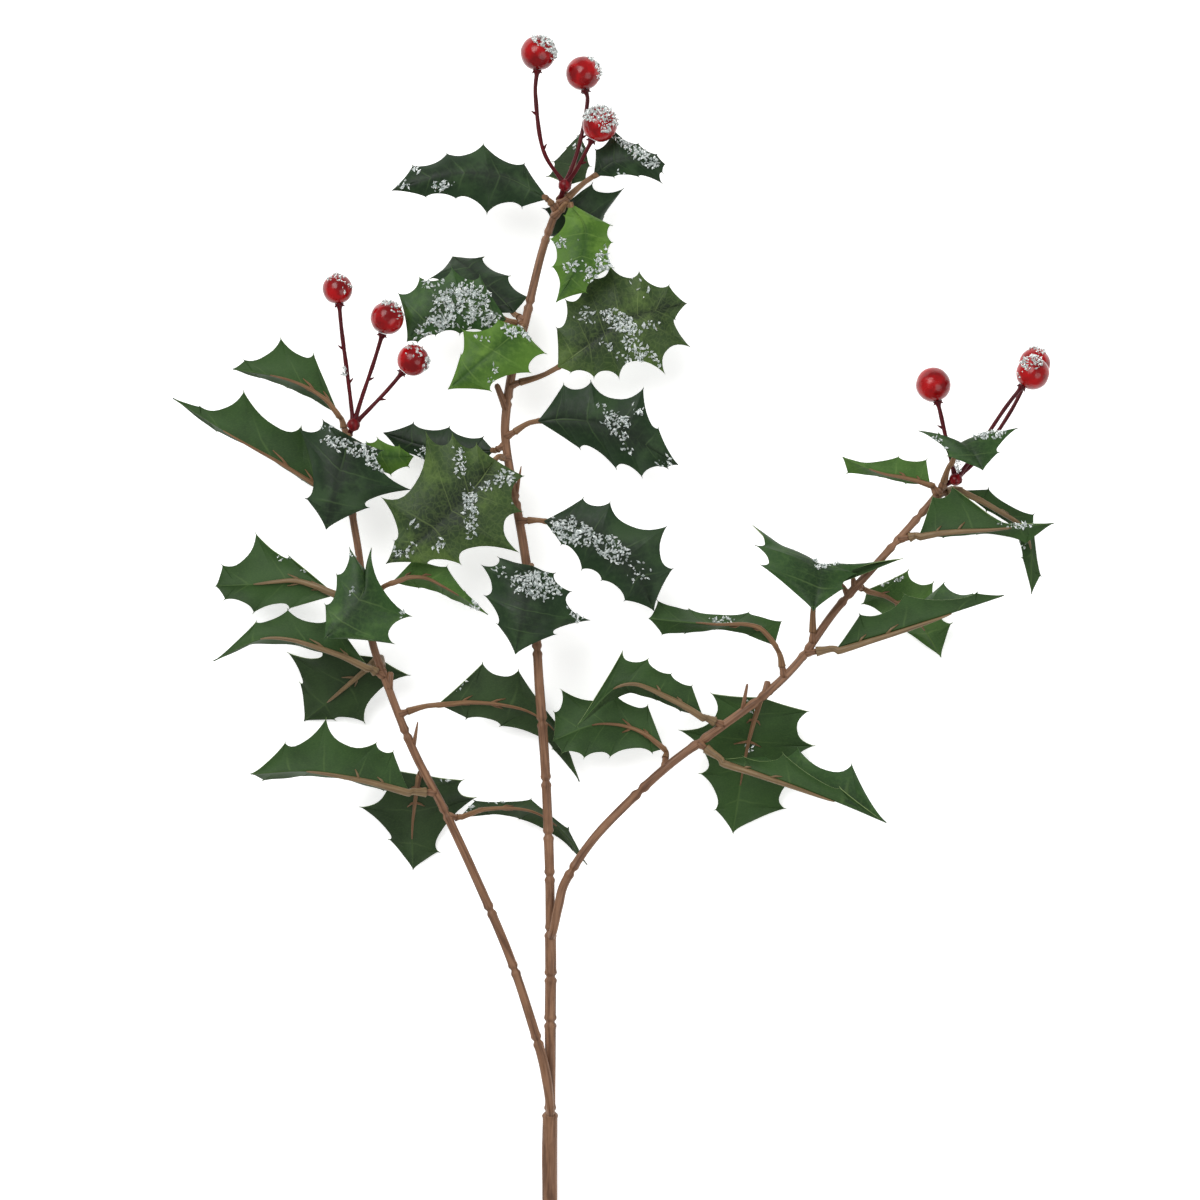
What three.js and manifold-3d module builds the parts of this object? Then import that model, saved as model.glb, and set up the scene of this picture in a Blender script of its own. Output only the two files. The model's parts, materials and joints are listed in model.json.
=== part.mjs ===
// A frosted holly spray, as sold for winter decorating: a brown plastic stem on a wire core with two
// side branches, cloth leaves bonded to moulded petioles, and three picks of gloss red berries.
// It lies on a table. Millimetres, +Z up, +Y along the stem from its cut end to the crown, +X to the
// right. The finished group is moved so that its origin is the middle of the rectangle it covers, on
// the table.
import * as THREE from "three";
import Module from "manifold-3d";
import { mergeVertices } from "three/addons/utils/BufferGeometryUtils.js";

const wasm = await Module();
wasm.setup();

// Driving dimensions.
const GAP = 0.35; // clear distance between two separate pieces that touch
const BLADE_THICKNESS = 0.8; // cloth leaf with its print and backing
const KEEL = 1.7; // how far the moulded rib stands below the blade at its base
const RIB_LENGTH = 0.75; // share of the blade that the rib runs along
const SLEEVE_RADIUS = 1.75; // push-on end of the petiole
const PETIOLE_RADIUS = 1.2;
const PEG_LENGTH = 2.6; // how far a stem's peg stands out of its bark
const PEG_RADIUS = 1.5;
const JOINT_SWELL = 1.1; // a moulded joint's lips against the stem, as a ratio
const JOINT_WAIST = 0.86; // and the groove between its lips
const JOINT_HALF = 2.6; // half the length of a joint
const STALK_RADIUS = 1.1;
const SEAT_RADIUS = 1.8; // the stalk widens to this under a berry
const HUB_RADIUS = 3.0; // the glued knot where three stalks meet
const STEM_SIDES = 10;
const PEG_SIDES = 6;

const UP = new THREE.Vector3(0, 0, 1);
const vec = ([x, y, z]) => new THREE.Vector3(x, y, z);
const along = (p, direction, distance) => p.clone().addScaledVector(direction, distance);

// Materials, one per slot of the record.
const finish = (color, roughness) => new THREE.MeshStandardMaterial({ color, roughness, metalness: 0 });
const MATERIAL = {
  bark: finish(0x7b5a45, 0.6),
  stalk: finish(0x4f151b, 0.45),
  berry: finish(0xb5121b, 0.15),
  leaf_dark: finish(0x213f2b, 0.6),
  leaf_mid: finish(0x2f5c34, 0.6),
  leaf_bright: finish(0x4d8a3a, 0.6),
};

// ---------------------------------------------------------------- closed lofts

// A closed skin through rings of points that all turn the same way round and hold as many points each.
function loft(rings) {
  const count = rings[0].length;
  const positions = rings.flat().flatMap((p) => [p.x, p.y, p.z]);
  const index = [];
  for (let r = 0; r + 1 < rings.length; r++) {
    for (let i = 0; i < count; i++) {
      const j = (i + 1) % count;
      const [a, b] = [r * count + i, r * count + j];
      index.push(a, b, b + count, a, b + count, a + count);
    }
  }
  const last = (rings.length - 1) * count;
  for (let i = 1; i + 1 < count; i++) {
    index.push(0, i + 1, i);
    index.push(last, last + i, last + i + 1);
  }
  const geometry = new THREE.BufferGeometry();
  geometry.setAttribute("position", new THREE.Float32BufferAttribute(positions, 3));
  geometry.setIndex(index);
  return geometry;
}

// Round rings of a tube along a curve, one for each { at, radius }, where at is a share of its length.
function tubeRings(curve, stations, sides) {
  const rings = [];
  let side = null;
  for (const { at, radius } of stations) {
    const centre = curve.getPointAt(at);
    const tangent = curve.getTangentAt(at);
    side = side ?? new THREE.Vector3().crossVectors(tangent, UP);
    side.addScaledVector(tangent, -side.dot(tangent)).normalize();
    const other = new THREE.Vector3().crossVectors(tangent, side);
    const ring = [];
    for (let i = 0; i < sides; i++) {
      const angle = (i / sides) * 2 * Math.PI;
      ring.push(along(along(centre, side, radius * Math.cos(angle)), other, radius * Math.sin(angle)));
    }
    rings.push(ring);
  }
  return rings;
}

function solidOf(geometry) {
  const merged = mergeVertices(geometry, 1e-3);
  return new wasm.Manifold(
    new wasm.Mesh({
      numProp: 3,
      vertProperties: merged.attributes.position.array,
      triVerts: new Uint32Array(merged.index.array),
    }),
  );
}

function geometryOf(solid) {
  const mesh = solid.getMesh();
  const geometry = new THREE.BufferGeometry();
  geometry.setAttribute("position", new THREE.BufferAttribute(mesh.vertProperties, 3));
  geometry.setIndex(new THREE.BufferAttribute(mesh.triVerts, 1));
  return geometry;
}

const joined = (geometries) => geometryOf(geometries.map(solidOf).reduce((a, b) => a.add(b)));

// ---------------------------------------------------------------- stems

// Each stem runs through these points. joints are the heights, in Y, of its moulded joints, radii its
// radius at its start, at each change named by its Y, and at its end.
const STEMS = {
  main_stem: {
    route: [
      [-0.5, 0, 3.7], [-0.5, 97, 9], [-0.2, 137, 12], [0, 185, 16], [0, 229, 19], [-0.5, 266, 22.5],
      [-2.6, 313, 26], [-5.5, 355, 29], [-7.5, 384, 31], [-13, 422, 33.5], [-18, 450, 35],
      [-22, 474, 36], [-22.3, 488, 36.5], [-19, 511, 37], [-12.5, 536, 38], [-4, 571, 39.5], [5, 597, 40],
    ],
    radii: [[0, 3.75], [136, 3.9], [141, 2.75], [227, 2.85], [232, 2.45], [400, 2.35], [597, 1.95]],
    joints: [52, 138.5, 184, 207, 230, 258, 279, 306, 336, 372, 405, 447, 497, 545, 579],
  },
  left_branch: {
    route: [
      [-0.2, 141, 17.7], [-2.2, 157, 19], [-6, 173, 20], [-17.4, 209, 22], [-29.5, 239.5, 24],
      [-52, 289, 28.5], [-68.3, 321, 31], [-81.7, 354.5, 33.5], [-90, 380, 35], [-95.8, 421, 37],
      [-99.5, 446, 38], [-100.5, 479, 39],
    ],
    radii: [[141, 2.0], [155, 2.35], [176, 2.15], [250, 2.0], [479, 1.65]],
    joints: [175, 211, 241, 290, 330, 362, 402, 442],
  },
  right_branch: {
    route: [
      [1.6, 231, 24.2], [4.3, 243.5, 24.6], [8, 256, 25], [21.5, 276.5, 26.5], [39.5, 295.5, 28.5],
      [60.5, 315, 31], [84.6, 332.5, 33], [107.5, 349.5, 35], [124.7, 366.5, 36.5], [143, 392, 38],
      [166.5, 418.5, 39], [189, 444, 40], [196.5, 454, 40.5],
    ],
    radii: [[231, 1.9], [245, 2.15], [290, 2.05], [454, 1.7]],
    joints: [261, 301, 326, 347, 371, 398, 425, 439],
  },
};

for (const stem of Object.values(STEMS)) {
  stem.curve = new THREE.CatmullRomCurve3(stem.route.map(vec), false, "centripetal");
  stem.curve.arcLengthDivisions = 2000;
}

// The share of a stem's length at which it has climbed to y. Every stem climbs all the way.
function shareAtY(curve, y) {
  let [low, high] = [0, 1];
  for (let step = 0; step < 30; step++) {
    const middle = (low + high) / 2;
    if (curve.getPointAt(middle).y < y) low = middle;
    else high = middle;
  }
  return (low + high) / 2;
}

function radiusAtY(radii, y) {
  if (y <= radii[0][0]) return radii[0][1];
  for (let i = 1; i < radii.length; i++) {
    const [y0, r0] = radii[i - 1];
    const [y1, r1] = radii[i];
    if (y <= y1) return r0 + ((r1 - r0) * (y - y0)) / (y1 - y0);
  }
  return radii[radii.length - 1][1];
}

// The ring stations of a stem: both ends, its route's bends, its changes of radius and its joints.
function stemStations({ curve, route, radii, joints }) {
  const length = curve.getLength();
  const stations = [];
  const nearJoint = (y) => joints.some((j) => Math.abs(j - y) < 2 * JOINT_HALF);
  for (const y of [...route.map((p) => p[1]), ...radii.map((r) => r[0])]) {
    if (!nearJoint(y)) stations.push({ at: shareAtY(curve, y), radius: radiusAtY(radii, y) });
  }
  for (const y of joints) {
    const at = shareAtY(curve, y);
    const step = JOINT_HALF / length;
    stations.push({ at: at - step, radius: radiusAtY(radii, y - JOINT_HALF) * JOINT_SWELL });
    stations.push({ at, radius: radiusAtY(radii, y) * JOINT_WAIST });
    stations.push({ at: at + step, radius: radiusAtY(radii, y + JOINT_HALF) * JOINT_SWELL });
  }
  return stations
    .sort((a, b) => a.at - b.at)
    .filter((s, i, all) => i === 0 || (s.at - all[i - 1].at) * length > 1);
}

// A tapered stub that grows out of a stem: a peg for a petiole, a bud or a thorn.
function stub(start, end, startRadius, endRadius) {
  const line = new THREE.LineCurve3(start, end);
  return loft(tubeRings(line, [{ at: 0, radius: startRadius }, { at: 1, radius: endRadius }], PEG_SIDES));
}

// Buds and thorns left on the stems: where they leave the axis, where they end, and their radii.
const SPURS = [
  { stem: "main_stem", y: 492, end: [-26.8, 505, 40], radii: [1.6, 1.5] },
  { stem: "main_stem", y: 447, end: [-14.4, 464, 38], radii: [1.0, 0.4] },
  { stem: "left_branch", y: 322, end: [-66.3, 336, 35], radii: [1.0, 0.4] },
  { stem: "left_branch", y: 352, end: [-80, 361, 33], radii: [1.8, 1.6] },
  { stem: "right_branch", y: 341, end: [98.8, 355, 37], radii: [1.1, 0.7] },
  { stem: "right_branch", y: 350, end: [109, 356.5, 35], radii: [1.8, 1.4] },
  { stem: "right_branch", y: 399, end: [146, 405.5, 39], radii: [1.4, 0.5] },
  { stem: "right_branch", y: 403, end: [151.5, 408.5, 39.5], radii: [1.6, 1.1] },
];

// ---------------------------------------------------------------- leaves

// The leaves, from the lowest on each stem to its crown. y says where on the stem the leaf's peg
// stands. rib is the line of its midrib from the base of the blade to its tip. left and right are the
// points of its spines in plan, as seen from above looking from base to tip, and rise is how far the
// widest spines of each side stand above the rib. under marks a leaf whose back faces up.
const LEAVES = {
  main_stem: {
    center_leaf_01: {
      y: 407, tone: "dark", rise: [-9, -9],
      rib: [[-9, 414, 46], [-10, 402, 55], [-14, 386, 58], [-17, 370, 56]],
      left: [[2, 410], [10, 401], [19.5, 387], [2.5, 380]],
      right: [[-25.5, 417.5], [-33.5, 414], [-32, 399], [-25.5, 385]],
    },
    center_leaf_02: {
      y: 437, tone: "dark", rise: [-3, -4],
      rib: [[-3, 436.5, 40], [14, 433, 44], [32, 421.5, 46], [46, 405, 46], [52, 391.5, 44]],
      left: [[16.5, 447.5], [30, 445.5], [58, 433.5], [61, 412.5]],
      right: [[6, 425], [16, 412.5], [26, 407], [37.5, 397]],
    },
    center_leaf_03: {
      y: 469, tone: "mid", rise: [-2, -2],
      rib: [[-27.5, 467, 47], [-37, 453.5, 52], [-51.5, 439, 54], [-64.5, 427, 54], [-81.5, 415, 52]],
      left: [[-13.2, 458.5], [-14.2, 441], [-16, 421], [-44.4, 415], [-61, 415]],
      right: [[-36.5, 474.5], [-48.5, 479.3], [-61.5, 480], [-83, 447.6], [-77, 426.5]],
    },
    center_leaf_04: {
      y: 474, tone: "dark", rise: [-4, -2],
      rib: [[-28, 472, 32], [-45, 472, 27], [-65, 475, 21], [-84.5, 481.5, 16]],
      left: [[-38, 462], [-58, 463.5], [-76.5, 471.5]],
      right: [[-34, 478.5], [-51, 484], [-69, 486]],
    },
    center_leaf_05: {
      y: 479, tone: "dark", rise: [-4, -5],
      rib: [[-6, 486.5, 40], [12, 487, 44], [32.5, 482.5, 45], [64, 464.5, 43]],
      left: [[7, 504.5], [20.5, 506], [46.5, 502.5], [54, 482.5]],
      right: [[15, 473], [33, 463], [46, 459], [58.5, 463]],
    },
    center_leaf_06: {
      y: 504, tone: "mid", rise: [-3, -3],
      rib: [[4, 513.5, 38], [15.5, 521.5, 40], [37.5, 537, 41], [68.5, 545.5, 37]],
      left: [[3.5, 533], [8, 547], [17, 561], [30, 564], [44.5, 561], [59.5, 554.5]],
      right: [[10.5, 511], [22, 508.5], [34.5, 508.5], [57, 510.8], [69.5, 524], [62.5, 538]],
    },
    center_leaf_07: {
      y: 531, tone: "bright", rise: [-3, -3],
      rib: [[-14, 533, 49], [-24, 524, 56], [-37, 513, 59], [-50.5, 501.5, 57]],
      left: [[-2.5, 519.5], [-10, 510], [-29.5, 501]],
      right: [[-26, 536], [-43, 531], [-44, 518.5]],
    },
    center_leaf_08: {
      y: 534, tone: "mid", rise: [-4, -5],
      rib: [[-22, 537, 43], [-40, 543, 46], [-58, 540, 46], [-71.5, 526, 43]],
      left: [[-33, 531], [-45, 530], [-57, 529.5], [-66, 526]],
      right: [[-35, 558.5], [-49, 562.5], [-65, 558], [-75.5, 550]],
    },
    center_leaf_09: {
      y: 536, tone: "dark", rise: [-4, -2],
      rib: [[-18, 541, 32], [-28, 552, 25], [-40, 564, 13], [-50, 571.5, 0.5]],
      left: [[-37, 541], [-55, 547], [-60, 560]],
      right: [[-11.5, 549], [-21, 560], [-34.5, 570.5]],
    },
    center_leaf_10: {
      y: 589.5, tone: "bright", rise: [-6, -3],
      rib: [[10, 594.5, 48], [17.5, 582, 54], [15.5, 566, 58], [3.2, 544.8, 57]],
      left: [[30, 583.5], [30.8, 575], [31, 562.5], [18, 550]],
      right: [[7.5, 588], [0.5, 576.2], [1.5, 562.5], [5, 552]],
    },
    center_leaf_11: {
      y: 591, tone: "dark", rise: [-3, -3],
      rib: [[9, 597, 32], [14, 590, 28], [19, 582, 24], [22, 573, 20]],
      left: [[21, 606], [36, 604], [26.5, 589.5]],
      right: [[-3, 594], [-3, 580.5], [8, 577.5]],
    },
    center_leaf_12: {
      y: 592, tone: "dark", rise: [-5, -8],
      rib: [[-1, 597, 44.5], [-24, 608.5, 45.5], [-50.5, 609.5, 46], [-79, 601.5, 43]],
      left: [[-14, 593.5], [-31.5, 590.5], [-47, 598], [-62, 598.5]],
      right: [[-13, 615], [-33.5, 624.5], [-51.5, 620], [-68.5, 614]],
    },
    center_leaf_13: {
      y: 594, tone: "dark", rise: [-6, -3],
      rib: [[22, 609, 43], [33, 616, 46], [45, 617.5, 46], [57.5, 614.5, 43]],
      left: [[23, 622], [32, 631.5], [44, 625], [53, 619.5]],
      right: [[32, 608.5], [44, 608.5], [55.5, 605.5], [56, 610.5]],
    },
    center_leaf_14: {
      y: 595.5, tone: "dark", rise: [-3, -3], under: true,
      rib: [[9, 605, 33], [12, 615, 29], [13.5, 624, 25], [14.5, 631.5, 22]],
      left: [[-1, 610], [1.5, 618], [8.5, 625]],
      right: [[18, 608], [20, 615.5], [18.5, 624]],
    },
  },
  left_branch: {
    left_leaf_01: {
      y: 288, tone: "dark", rise: [-6, -6], under: true,
      rib: [[-46, 287.5, 25], [-30, 292, 19], [-8, 290, 15], [5, 281, 13.5], [18.5, 263, 12]],
      left: [[-38, 296], [-10, 296], [9, 281.5]],
      right: [[-31, 288.5], [-15.5, 285.5], [10.5, 271]],
    },
    left_leaf_02: {
      y: 300, tone: "mid", rise: [-18, 0], under: true,
      rib: [[-71, 301.5, 34], [-94, 307.5, 38], [-122, 311.5, 40], [-150, 310, 39]],
      left: [[-84, 301.5], [-104, 306], [-124, 308], [-144, 306.5]],
      right: [[-78.5, 321], [-87, 325.5], [-112, 337.5], [-132.5, 325.5]],
    },
    left_leaf_03: {
      y: 311, tone: "dark", rise: [-3, -3], under: true,
      rib: [[-66, 309, 22], [-68, 297, 16.5], [-70, 282, 9], [-70, 260, 0.5]],
      left: [[-44.5, 306], [-38, 296.5], [-57, 269]],
      right: [[-84, 312], [-96, 292], [-82, 275]],
    },
    left_leaf_04: {
      y: 340, tone: "dark", rise: [-2, -5], under: true,
      rib: [[-56.5, 344.5, 29], [-33.5, 345.5, 24], [-8, 339.5, 18], [6, 326, 15], [14.5, 305, 12]],
      left: [[-34, 365], [-16, 361.5], [3, 335]],
      right: [[-42, 337.5], [-25, 333], [1, 321.5]],
    },
    left_leaf_05: {
      y: 361, tone: "dark", rise: [-2, -3], under: true,
      rib: [[-87, 368, 22], [-99, 357, 16], [-112, 346, 8.5], [-125.5, 335.5, 0.5]],
      left: [[-71.5, 359], [-94.5, 335], [-110, 336]],
      right: [[-116, 371.5], [-132.5, 370], [-127.5, 354.5]],
    },
    left_leaf_06: {
      y: 358, tone: "mid", rise: [-14, -2], under: true,
      rib: [[-91, 363.5, 38], [-112, 372.5, 42], [-140, 378.5, 43], [-168.5, 366.5, 39]],
      left: [[-108, 368.5], [-128, 374.5], [-150, 374]],
      right: [[-109, 388.5], [-131, 392], [-147, 386]],
    },
    left_leaf_07: {
      y: 395, tone: "mid", rise: [-9, -9],
      rib: [[-91, 411, 48], [-93, 400, 56], [-101, 388, 58], [-112, 377.5, 57]],
      left: [[-89, 422], [-69.5, 389], [-78, 375.5]],
      right: [[-100, 422], [-106, 409.5], [-111.5, 394.5]],
    },
    left_leaf_08: {
      y: 392, tone: "bright", rise: [-2, -12], under: true,
      rib: [[-79, 406, 40], [-65, 409.5, 42], [-49, 402, 43], [-31, 389.8, 41]],
      left: [[-67, 418.5], [-51.5, 413.8], [-42, 401]],
      right: [[-66, 402.5], [-54, 400], [-43, 394.5]],
    },
    left_leaf_09: {
      y: 399, tone: "mid", rise: [-3, -4], under: true,
      rib: [[-107, 399.5, 36], [-126, 406.5, 34.5], [-146, 405, 31], [-168.5, 404, 25]],
      left: [[-130.8, 392.8], [-149, 390.8], [-163.5, 397.3]],
      right: [[-131, 419], [-148, 430.2], [-165, 414.5]],
    },
    left_leaf_10: {
      y: 443, tone: "mid", rise: [-20, 0], under: true,
      rib: [[-108, 449, 38], [-134, 465.5, 41], [-160, 480, 42], [-188.5, 498, 40]],
      left: [[-125, 457.5], [-146, 470.5], [-168, 482]],
      right: [[-124.5, 483.5], [-153, 501], [-174.5, 493.5]],
    },
    left_leaf_11: {
      y: 470, tone: "bright", rise: [-2, -2],
      rib: [[-95, 469.5, 34], [-87, 469, 34], [-78, 468.5, 33], [-68.5, 469, 31]],
      left: [[-92, 476], [-86.5, 478], [-76, 474]],
      right: [[-91, 460], [-80, 460], [-71.5, 464]],
    },
    left_leaf_12: {
      y: 473.5, tone: "dark", rise: [-9, -9],
      rib: [[-100.5, 479, 48], [-102, 468, 55], [-107, 450, 58], [-111, 432, 56]],
      left: [[-84, 471], [-70, 452], [-90.5, 443]],
      right: [[-113, 486], [-124.5, 482], [-120.5, 447.5]],
    },
    left_leaf_13: {
      y: 476, tone: "mid", rise: [-13, -2], under: true,
      rib: [[-105.5, 489.5, 41], [-114, 499, 43], [-130, 507, 44], [-158.5, 512.5, 42]],
      left: [[-117.5, 497], [-132, 503], [-146, 508]],
      right: [[-118, 520], [-134.5, 527.5], [-152.5, 517]],
    },
  },
  right_branch: {
    right_leaf_01: {
      y: 313, tone: "mid", rise: [-2, -3], under: true,
      rib: [[57.5, 322, 26], [44, 331.5, 25], [24, 334.5, 24], [1, 326, 23]],
      left: [[51, 320.3], [30, 318], [17, 317.5], [6, 320]],
      right: [[49, 344], [31, 351], [5.5, 351.8], [2, 340.5]],
    },
    right_leaf_02: {
      y: 325, tone: "mid", rise: [0, -15], under: true,
      rib: [[87, 317.3, 36], [109, 309.5, 40], [138, 298.5, 42], [168.2, 285.8, 41]],
      left: [[97, 318.5], [116.5, 320], [145, 303]],
      right: [[108, 318], [124.5, 322], [151, 314]],
    },
    right_leaf_03: {
      y: 334, tone: "mid", rise: [-11, 0], under: true,
      rib: [[76.5, 339, 37], [62, 347.5, 40], [38, 355.5, 42], [13, 333.5, 38]],
      left: [[65, 341], [53, 347], [40, 350], [27, 344]],
      right: [[71, 354], [60.5, 360], [49, 367.5], [36, 371.5]],
    },
    right_leaf_04: {
      y: 352, tone: "mid", rise: [-2, -2], under: true,
      rib: [[106, 348, 26], [101, 330, 19], [96.5, 306, 9], [92.5, 278.3, 0.5]],
      left: [[130, 340.5], [133, 323.3], [125, 306], [118.8, 291]],
      right: [[81.3, 349.5], [65.5, 330.8], [76, 309], [83.5, 290.3]],
    },
    right_leaf_05: {
      y: 359, tone: "mid", rise: [-7, -12], under: true,
      rib: [[112.5, 374, 39], [104, 383, 41], [82, 384.5, 42], [49.3, 387.7, 40]],
      left: [[100, 379], [83, 381.5], [68, 380.5], [56, 379.5]],
      right: [[116, 386.3], [99.5, 391], [70, 393], [54, 396.5]],
    },
    right_leaf_06: {
      y: 370, tone: "mid", rise: [0, -17], under: true,
      rib: [[144, 373.5, 38], [168, 380.5, 41], [198, 390, 42], [227, 399.5, 40]],
      left: [[155, 389.7], [177, 399.8], [213, 400.5]],
      right: [[163, 386], [198, 405], [212, 399.5]],
    },
    right_leaf_07: {
      y: 375, tone: "mid", rise: [-6, -6],
      rib: [[132.5, 400.5, 45], [135.5, 415, 52], [134, 408, 60], [130.5, 391.5, 66]],
      left: [[175.5, 417.2], [152, 410], [145.5, 402.5]],
      right: [[102, 433.5], [103, 423.5], [105, 414]],
    },
    right_leaf_08: {
      y: 404, tone: "bright", rise: [-3, -3], under: true,
      rib: [[159, 402, 30], [170, 398.5, 25], [186, 386, 14], [198.4, 368, 0.5]],
      left: [[180, 411.5], [193.8, 405.5], [203, 385]],
      right: [[157.5, 395], [168, 388], [180, 380.5]],
    },
    right_leaf_09: {
      y: 427, tone: "mid", rise: [0, -8], under: true,
      rib: [[184.5, 429.5, 42], [200, 431.5, 45], [220, 432.5, 47], [251.5, 435.3, 45]],
      left: [[191, 448.5], [200.5, 453.5], [223.5, 434.8]],
      right: [[197, 428.5], [214, 429.5], [238, 425]],
    },
    right_leaf_10: {
      y: 450, tone: "mid", rise: [-4, -4], under: true,
      rib: [[205.5, 452, 34], [222, 443.5, 34], [239, 431, 32], [242, 400, 27]],
      left: [[220, 452.5], [243, 440], [246.6, 409.5]],
      right: [[219, 441.8], [232.5, 434], [237.2, 418]],
    },
    right_leaf_11: {
      y: 451, tone: "bright", rise: [-9, 0], under: true,
      rib: [[190, 455, 42], [178, 458.3, 44], [164, 461, 44], [146, 468.5, 42]],
      left: [[178, 455.5], [165, 458], [149, 460.5]],
      right: [[188, 467], [174, 468.5], [155, 466]],
    },
    right_leaf_12: {
      y: 453, tone: "mid", rise: [-6, -4],
      rib: [[199.5, 466, 55], [203.5, 475, 62], [209, 470, 68], [214, 461, 71]],
      left: [[218.7, 480.5], [231.5, 481.5], [222, 470]],
      right: [[193, 479], [184, 480.5], [197, 468]],
    },
  },
};

const RISE_SHARE = 0.6; // the first and the last spines stand this share of rise above the rib
const HOLLOW = 0.28; // how far a wide hollow between two spines is drawn in towards the rib
const WIDE_HOLLOW = 26; // between spines at least this far apart. Closer ones have a shallower hollow
const LEAST_HOLLOW = 0.11;
const BASE_HOLLOW = 0.04; // the same for the edge between the base and the first spine
const FIRST_SPINE = 0.18; // where on the rib the first spine's vein starts, as a share of its length
const LAST_SPINE = 0.82;

// One side of a blade, from base to tip: spines with a hollow before, between and after them.
function bladeEdge(rib, spines, rise) {
  const count = spines.length;
  const share = (i) => FIRST_SPINE + ((LAST_SPINE - FIRST_SPINE) * i) / (count - 1);
  const points = spines.map(([x, y], i) => {
    const lift = rise * (RISE_SHARE + (1 - RISE_SHARE) * Math.sin((Math.PI * i) / (count - 1)));
    return new THREE.Vector3(x, y, rib.getPointAt(share(i)).z + lift);
  });
  const corners = [rib.getPointAt(0), ...points, rib.getPointAt(1)];
  const shares = [0, ...points.map((p, i) => share(i)), 1];
  const edge = [];
  for (let i = 0; i + 1 < corners.length; i++) {
    const u = (shares[i] + shares[i + 1]) / 2;
    const apart = corners[i].distanceTo(corners[i + 1]);
    const drawIn = i === 0 ? BASE_HOLLOW : Math.max(LEAST_HOLLOW, HOLLOW * Math.min(1, apart / WIDE_HOLLOW));
    const hollow = corners[i].clone().lerp(corners[i + 1], 0.5).lerp(rib.getPointAt(u), drawIn);
    edge.push({ u: shares[i], point: corners[i] }, { u, point: hollow });
  }
  edge.push({ u: 1, point: corners[corners.length - 1] });
  return edge;
}

// The six points of a section, turning the same way as a tube's ring: left edge, rib and right edge
// above, then right edge, rib and left edge below.
function petioleSection(centre, tangent, normal, radius) {
  const across = new THREE.Vector3().crossVectors(tangent, normal).normalize();
  return [[-0.87, 0.5], [0, 1], [0.87, 0.5], [0.87, -0.5], [0, -1], [-0.87, -0.5]].map(([x, z]) =>
    along(along(centre, across, radius * x), normal, radius * z),
  );
}

function bladeSections(leaf) {
  const rib = new THREE.CatmullRomCurve3(leaf.rib.map(vec), false, "centripetal");
  const left = bladeEdge(rib, leaf.left, leaf.rise[0]);
  const right = bladeEdge(rib, leaf.right, leaf.rise[1]);
  const half = BLADE_THICKNESS / 2;
  const sections = [];
  left.forEach(({ u, point }, i) => {
    const centre = rib.getPointAt(u);
    const tangent = rib.getTangentAt(u);
    const [toLeft, toRight] = [point.clone().sub(centre), right[i].point.clone().sub(centre)];
    let [leftNormal, rightNormal] = [toLeft.clone().negate().cross(tangent), toRight.clone().cross(tangent)];
    const atEnd = toLeft.length() < 1;
    if (atEnd) {
      const near = i === 0 ? 1 : i - 1;
      leftNormal = right[near].point.clone().sub(left[near].point).cross(tangent);
      rightNormal = leftNormal.clone();
      const across = new THREE.Vector3().crossVectors(tangent, leftNormal).normalize();
      const reach = i === 0 ? PETIOLE_RADIUS * 0.87 : half;
      toLeft.copy(across).multiplyScalar(-reach);
      toRight.copy(across).multiplyScalar(reach);
    }
    leftNormal.normalize();
    rightNormal.normalize();
    const normal = leftNormal.clone().add(rightNormal).normalize();
    const keel = half + KEEL * Math.max(0, 1 - u / RIB_LENGTH);
    const [above, below] = leaf.under ? [keel, half] : [half, keel];
    const [leftEdge, rightEdge] = [centre.clone().add(toLeft), centre.clone().add(toRight)];
    sections.push([
      along(leftEdge, leftNormal, half), along(centre, normal, above), along(rightEdge, rightNormal, half),
      along(rightEdge, rightNormal, -half), along(centre, normal, -below), along(leftEdge, leftNormal, -half),
    ]);
  });
  return { rib, sections };
}

// Where a leaf's peg ends and its petiole starts, and the way the petiole leaves the stem.
function pegOf(leaf) {
  const stem = STEMS[leaf.stem];
  const share = shareAtY(stem.curve, leaf.y);
  const axisPoint = stem.curve.getPointAt(share);
  const way = vec(leaf.rib[0]).sub(axisPoint).normalize();
  const across = Math.sqrt(1 - way.dot(stem.curve.getTangentAt(share)) ** 2);
  return { axisPoint, way, end: along(axisPoint, way, radiusAtY(stem.radii, leaf.y) / across + PEG_LENGTH) };
}

function leafGeometry(leaf) {
  const { rib, sections } = bladeSections(leaf);
  const peg = pegOf(leaf);
  const start = along(peg.end, peg.way, GAP);
  const [base, heading] = [rib.getPointAt(0), rib.getTangentAt(0)];
  const reach = start.distanceTo(base);
  const petiole = new THREE.QuadraticBezierCurve3(start, along(base, heading, -reach * 0.4), base);
  const up = sections[0][1].clone().sub(sections[0][4]).normalize();
  const rings = [[0, SLEEVE_RADIUS], [0.4, SLEEVE_RADIUS], [0.65, PETIOLE_RADIUS]].map(([at, radius]) => {
    const tangent = at === 0 ? peg.way : petiole.getTangentAt(at);
    const normal = up.clone().addScaledVector(tangent, -up.dot(tangent)).normalize();
    return petioleSection(petiole.getPointAt(at), tangent, normal, radius);
  });
  return loft([...rings, ...sections]);
}

// ---------------------------------------------------------------- berries

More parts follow.
